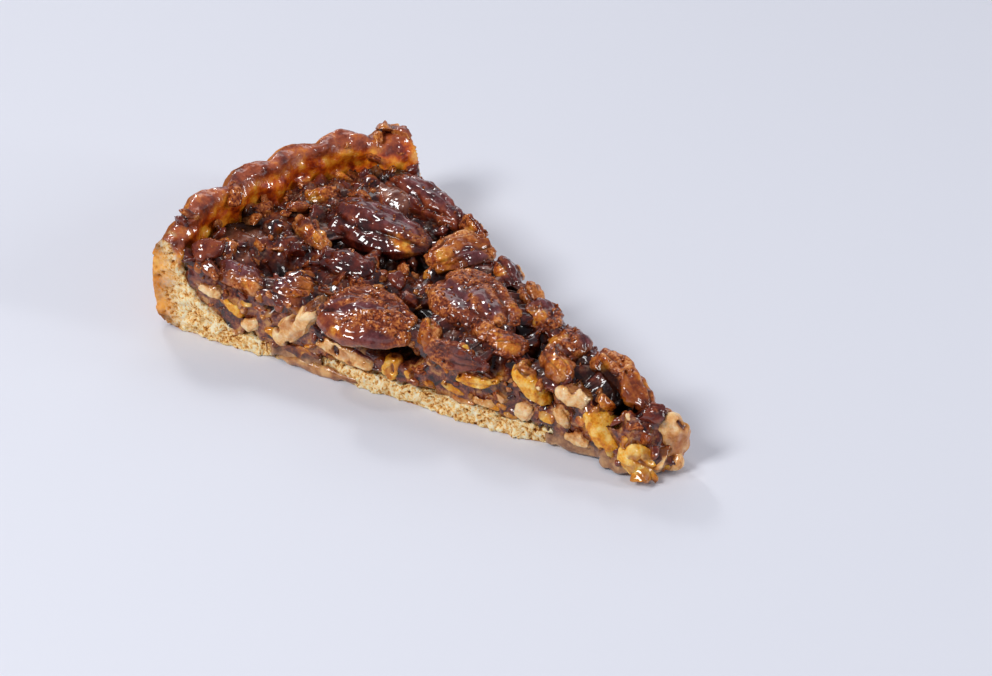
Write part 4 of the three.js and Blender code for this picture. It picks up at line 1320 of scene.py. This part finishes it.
class Chopper:
    """Lays chopped nuts in one heap of each kind. The random draws follow one another in a fixed order."""

    def __init__(self, seed):
        self.rng = random.Random(seed)
        self.coarse = [fragment(number, 0.36) for number in range(1, 9)]
        self.fine = [fragment(number, 0.2) for number in range(11, 25)]
        self.caramel = tree_of([frame["nodes"]["caramel_filling"]])
        self.case = tree_of([frame["nodes"]["pastry_crust"]])
        self.nuts = tree_of([frame["nodes"][name] for name in NUT_NODES])
        self.heaps = {kind: Heap() for kind in KINDS}
        self.placed = []

    def draw(self, *limits):
        """A random number between each pair of limits."""
        return [self.rng.uniform(low, high) for low, high in limits]

    def lay(self, x, y, z, lean, radius, kind):
        """One bit that lies on its side, tipped with what is under it."""
        shape, faces = self.rng.choice(self.fine if radius > 1.4 else self.coarse)
        spin = self.draw((-0.9, 0.9), (-0.9, 0.9), (0, 6.3))
        points = turned(stretched(shape, radius, self.rng), spin, lean) + np.array([x, y, z])
        points, taken = trimmed(points, 0.4)
        tone = self.rng.uniform(0.1, 0.9)
        self.heaps[kind].add(points, faces, 0.9 if kind == "gold" else tone, taken.astype(float))

    def nuggets_on_top(self):
        for x, y, lift, radius, kind in NUGGETS:
            place, _ = dropped_on(self.caramel, x, y)
            level = EDGE_LEVEL if place is None else place.z
            self.lay(x, y, level + 0.4 * lift, (0, 0, 1), radius, kind)
            self.placed.append((x, y, radius))

    def bits_on_rim(self):
        for x, y, radius, kind in RIM_BITS:
            place, normal = dropped_on(self.case, x, y)
            if place is not None:
                lift = 0.2 * radius * np.array(normal)
                self.lay(x + lift[0], y + lift[1], place.z + lift[2], normal, radius, kind)

    def bits_at_tip(self):
        for x, y, z, radius, kind in TIP_BITS:
            shape, faces = self.rng.choice(self.fine)
            spin = self.draw((-3, 3), (-3, 3), (-3, 3))
            points = turned(shape * radius * [0.8, 1.1, 1.2], spin) + np.array([x, y, z])
            flesh = ramp(-0.5, 0.3, lumps(points, 2.4, 85)) * (kind in FLESHY)
            self.heaps[kind].add(points, faces, self.rng.uniform(0.3, 0.9), flesh)

    def bits_in_face(self):
        for along, z, half_length, half_height, turn, kind in FACE_BITS:
            shape, faces = self.rng.choice(self.fine)
            lean, tip, swing = self.draw((-0.4, 0.4), (-0.2, 0.2), (-0.2, 0.2))
            own = turned(shape, (lean, math.radians(turn) + tip, swing))
            own = along_cut(own * [half_length, FACE_BIT_THICKNESS, half_height])
            points, taken = trimmed(own + on_cut(NEAR, along, -0.7, z), 0.5)
            flesh = np.where(taken, 0.9, 0.5 + 0.4 * lumps(points, 2.0, 86)) * (kind in FLESHY)
            self.heaps[kind].add(points, faces, self.rng.uniform(0.3, 0.9), np.clip(flesh, 0, 1))

    def is_free(self, x, y, radius, spacing):
        """Whether a bit may lie at x, y, clear of the pits, the pools and the bits laid before."""
        if not in_slice(x, y, radius) or in_pool(x, y):
            return False
        return all(math.hypot(x - px, y - py) >= spacing * (radius + pr) for px, py, pr in self.placed)

    def chops_on_top(self):
        for count, low, high, mix, spacing in CHOPS:
            made = 0
            for _ in range(count * TOP_TRIES):
                if made == count:
                    break
                x, y, radius = self.draw(SCATTER_X, SCATTER_Y, (low, high))
                if not self.is_free(x, y, radius, spacing):
                    continue
                place, normal = dropped_on(self.caramel, x, y)
                nut, _ = dropped_on(self.nuts, x, y)
                if place is None or place.z < LOWEST_TOP or (nut is not None and nut.z > place.z - 0.4):
                    continue
                lean = (normal + Vector((0, 0, 1))).normalized()
                z = place.z + radius * self.rng.uniform(-0.35, 0.15)
                self.lay(x, y, z, lean, radius, self.rng.choice(mix))
                self.placed.append((x, y, radius))
                made += 1

    def face_is_free(self, side, along, z, radius, set_here):
        """Whether a bit may be set in a cut face there, in caramel that no nut, gap or other bit takes up."""
        inset = inset_of(on_cut(side, along, -0.5 * radius, z)[None])[0]
        if z < case_height(inset) + 0.75 * radius + 0.4:
            return False
        if any(math.hypot(along - a, z - h) < 0.8 * (radius + r) for a, h, r in set_here):
            return False
        if any(on_face(along, z, *ellipse) < 1.2 for *ellipse, _ in GAPS):
            return False
        face = Vector(on_cut(side, along, 0.0, z))
        near_nut = self.nuts.find_nearest(face, 0.6 * radius)[0]
        return near_nut is None and self.caramel.find_nearest(face, 1.6)[0] is not None

    def chops_in_face(self, side):
        set_here = []
        for count, low, high, mix in FACE_CHOPS:
            made = 0
            for _ in range(count * FACE_TRIES):
                if made == count:
                    break
                along, z, radius = self.draw(FACE_ALONG, FACE_HEIGHT, (low, high))
                if not self.face_is_free(side, along, z, radius, set_here):
                    continue
                shape, faces = self.rng.choice(self.fine if radius > 1.2 else self.coarse)
                spin = self.draw((-3, 3), (-1.2, 1.2), (-3, 3))
                points = turned(stretched(shape, radius, self.rng), spin)
                points += on_cut(side, along, -0.5 * radius, z)
                points, taken = trimmed(points, self.rng.uniform(0.4, 0.9))
                kind = self.rng.choice(mix)
                flesh = taken * (0.8 if radius > 1.3 else 0.4) + 0.35 * lumps(points, 1.6, 87)
                flesh = np.clip(flesh, 0, 1) * (kind in FLESHY)
                self.heaps[kind].add(points, faces, self.rng.uniform(0, 1), flesh)
                set_here.append((along, z, radius))
                made += 1


class TART_OT_chopped(bpy.types.Operator):
    """Scatters the chopped nuts over the top, and sets them in the cut faces"""

    bl_idname = "tart.chopped"
    bl_label = "Chopped nuts"

    def execute(self, context):
        chopper = Chopper(context.scene.tart_sizes.chop_seed)
        chopper.nuggets_on_top()
        chopper.bits_on_rim()
        chopper.bits_at_tip()
        chopper.bits_in_face()
        chopper.chops_on_top()
        chopper.chops_in_face(NEAR)
        chopper.chops_in_face(FAR)
        for kind, slot in KINDS.items():
            chopper.heaps[kind].build("chopped_pecan_" + kind, slot, 0.6)
        return {"FINISHED"}


class TART_OT_crumbs(bpy.types.Operator):
    """Sprinkles crumbs of nut and sugar over the caramel and the nuts"""

    bl_idname = "tart.crumbs"
    bl_label = "Crumbs"

    def execute(self, context):
        rng = random.Random(context.scene.tart_sizes.chop_seed + 1)
        shapes = [fragment(number, 0.5) for number in range(31, 37)]
        ground = tree_of([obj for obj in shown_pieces() if obj.name.startswith(("caramel", "pecan", "chopped"))])
        heap = Heap()
        count, low, high = CRUMBS
        for _ in range(count):
            x, y, radius = rng.uniform(*SCATTER_X), rng.uniform(*SCATTER_Y), rng.uniform(low, high)
            if not in_slice(x, y, 1.0):
                continue
            place, _ = dropped_on(ground, x, y)
            if place is None or place.z < LOWEST_TOP:
                continue
            shape, faces = rng.choice(shapes)
            spin = [rng.uniform(-3, 3) for _ in range(3)]
            points = turned(stretched(shape, radius, rng), spin) + np.array(place)
            heap.add(points, faces, rng.uniform(0, 1), np.zeros(len(points)))
        heap.build("crumbs", "skin_tan", 0.1)
        return {"FINISHED"}


# --- syrup and shadow -----------------------------------------------------


class TART_OT_syrup(bpy.types.Operator):
    """Sets a pocket and a run of syrup in the -Y cut"""

    bl_idname = "tart.syrup"
    bl_label = "Syrup"

    def execute(self, context):
        for name, along, z, half_length, half_height, bulge, stops in RUNS:
            deselect()
            bpy.ops.mesh.primitive_uv_sphere_add(segments=48, ring_count=24, radius=1.0)
            obj = context.object
            obj.name = name
            bpy.ops.object.shade_smooth()
            unit = stored_points(obj)
            own = along_cut(unit * [half_length, bulge, half_height]) + on_cut(NEAR, along, -0.25, z)
            own += bumps(own, (0.6, 2.4, 91), (0.25, 1.2, 92))[:, None] * unit
            set_points(obj, own)
            finish_piece(obj, clear_syrup(name.replace("_", " "), stops), "caramel")
        return {"FINISHED"}


# Cells of 1 mm seen from above: how many along X and Y, the one that the origin lies in, and how many times
# their heights are smoothed
CELLS = (160, 100)
ORIGIN_CELL = (80, 50)
SMOOTHINGS = 9


def cells_of(points):
    """The cell seen from above that each point lies in, as two rows of numbers."""
    return tuple(np.floor(points[:, :2] + ORIGIN_CELL).astype(int).T)


def smoothed(grid):
    """The grid with each cell the mean of the nine round it."""
    return sum(np.roll(grid, (i, j), (0, 1)) for i in (-1, 0, 1) for j in (-1, 0, 1)) / 9


class TART_OT_shadows(bpy.types.Operator):
    """Stores painted shade: how far each point lies below the heights round it between the nuts, for the
    materials to darken it nearly to black
    """

    bl_idname = "tart.shadows"
    bl_label = "Painted shade between the nuts"

    def execute(self, context):
        syrupy = ("caramel", "pecan", "chopped", "crumbs")
        pieces = [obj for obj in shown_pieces() if obj.name.startswith(syrupy)]
        heights = np.zeros(CELLS)
        for obj in pieces:
            points = points_of(obj)
            np.maximum.at(heights, cells_of(points), points[:, 2])
        filled = (heights > 0).astype(float)
        for _ in range(SMOOTHINGS):
            heights, filled = smoothed(heights), smoothed(filled)
        heights /= np.maximum(filled, 1e-3)
        for obj in pieces:
            points = points_of(obj)
            # Painted shade: a point sunk below the smoothed heights round it is painted dark, and the shade
            # already stored as dark in pits, gaps and hollows is kept
            sunk = heights[cells_of(points)] - points[:, 2]
            out = np.maximum(*(along_and_out(points, side)[1] for side in (NEAR, FAR)))
            deep = ramp(-0.5, 3.2, sunk) * ramp(-1.2, -3.6, out) * ramp(124, 118, points[:, 0] - CUT_START_X)
            dark = np.zeros(len(points), np.float32)
            obj.data.attributes["dark"].data.foreach_get("value", dark)
            paint(obj, deep=np.clip(np.maximum(dark, 0.9 * deep), 0, 1))
        return {"FINISHED"}


# --- the add-on -----------------------------------------------------------

STEPS = (
    TART_OT_stage, TART_OT_pastry, TART_OT_chopped, TART_OT_caramel, TART_OT_pecans, TART_OT_crumbs,
    TART_OT_syrup, TART_OT_shadows,
)


class TART_PT_slice(bpy.types.Panel):
    """Lists the parts of the slice in the sidebar"""

    bl_idname = "TART_PT_slice"
    bl_label = "Pecan tart slice"
    bl_space_type = "VIEW_3D"
    bl_region_type = "UI"
    bl_category = "Tart Slice"

    def draw(self, context):
        for group in (context.scene.tart_sizes, context.scene.tart_colours):
            for key in group.bl_rna.properties.keys():
                if key not in ("rna_type", "name"):
                    self.layout.prop(group, key)
        for step in STEPS:
            self.layout.operator(step.bl_idname)


CLASSES = (TartSizes, TartColours, *STEPS, TART_PT_slice)


def register():
    for cls in CLASSES:
        bpy.utils.register_class(cls)
    bpy.types.Scene.tart_sizes = bpy.props.PointerProperty(type=TartSizes)
    bpy.types.Scene.tart_colours = bpy.props.PointerProperty(type=TartColours)


def unregister():
    del bpy.types.Scene.tart_colours
    del bpy.types.Scene.tart_sizes
    for cls in reversed(CLASSES):
        bpy.utils.unregister_class(cls)


def main():
    register()
    bpy.ops.tart.stage()
    bpy.ops.tart.pastry()
    bpy.ops.tart.chopped()
    bpy.ops.tart.caramel()
    bpy.ops.tart.pecans()
    bpy.ops.tart.crumbs()
    bpy.ops.tart.syrup()
    bpy.ops.tart.shadows()


if __name__ == "__main__":
    main()
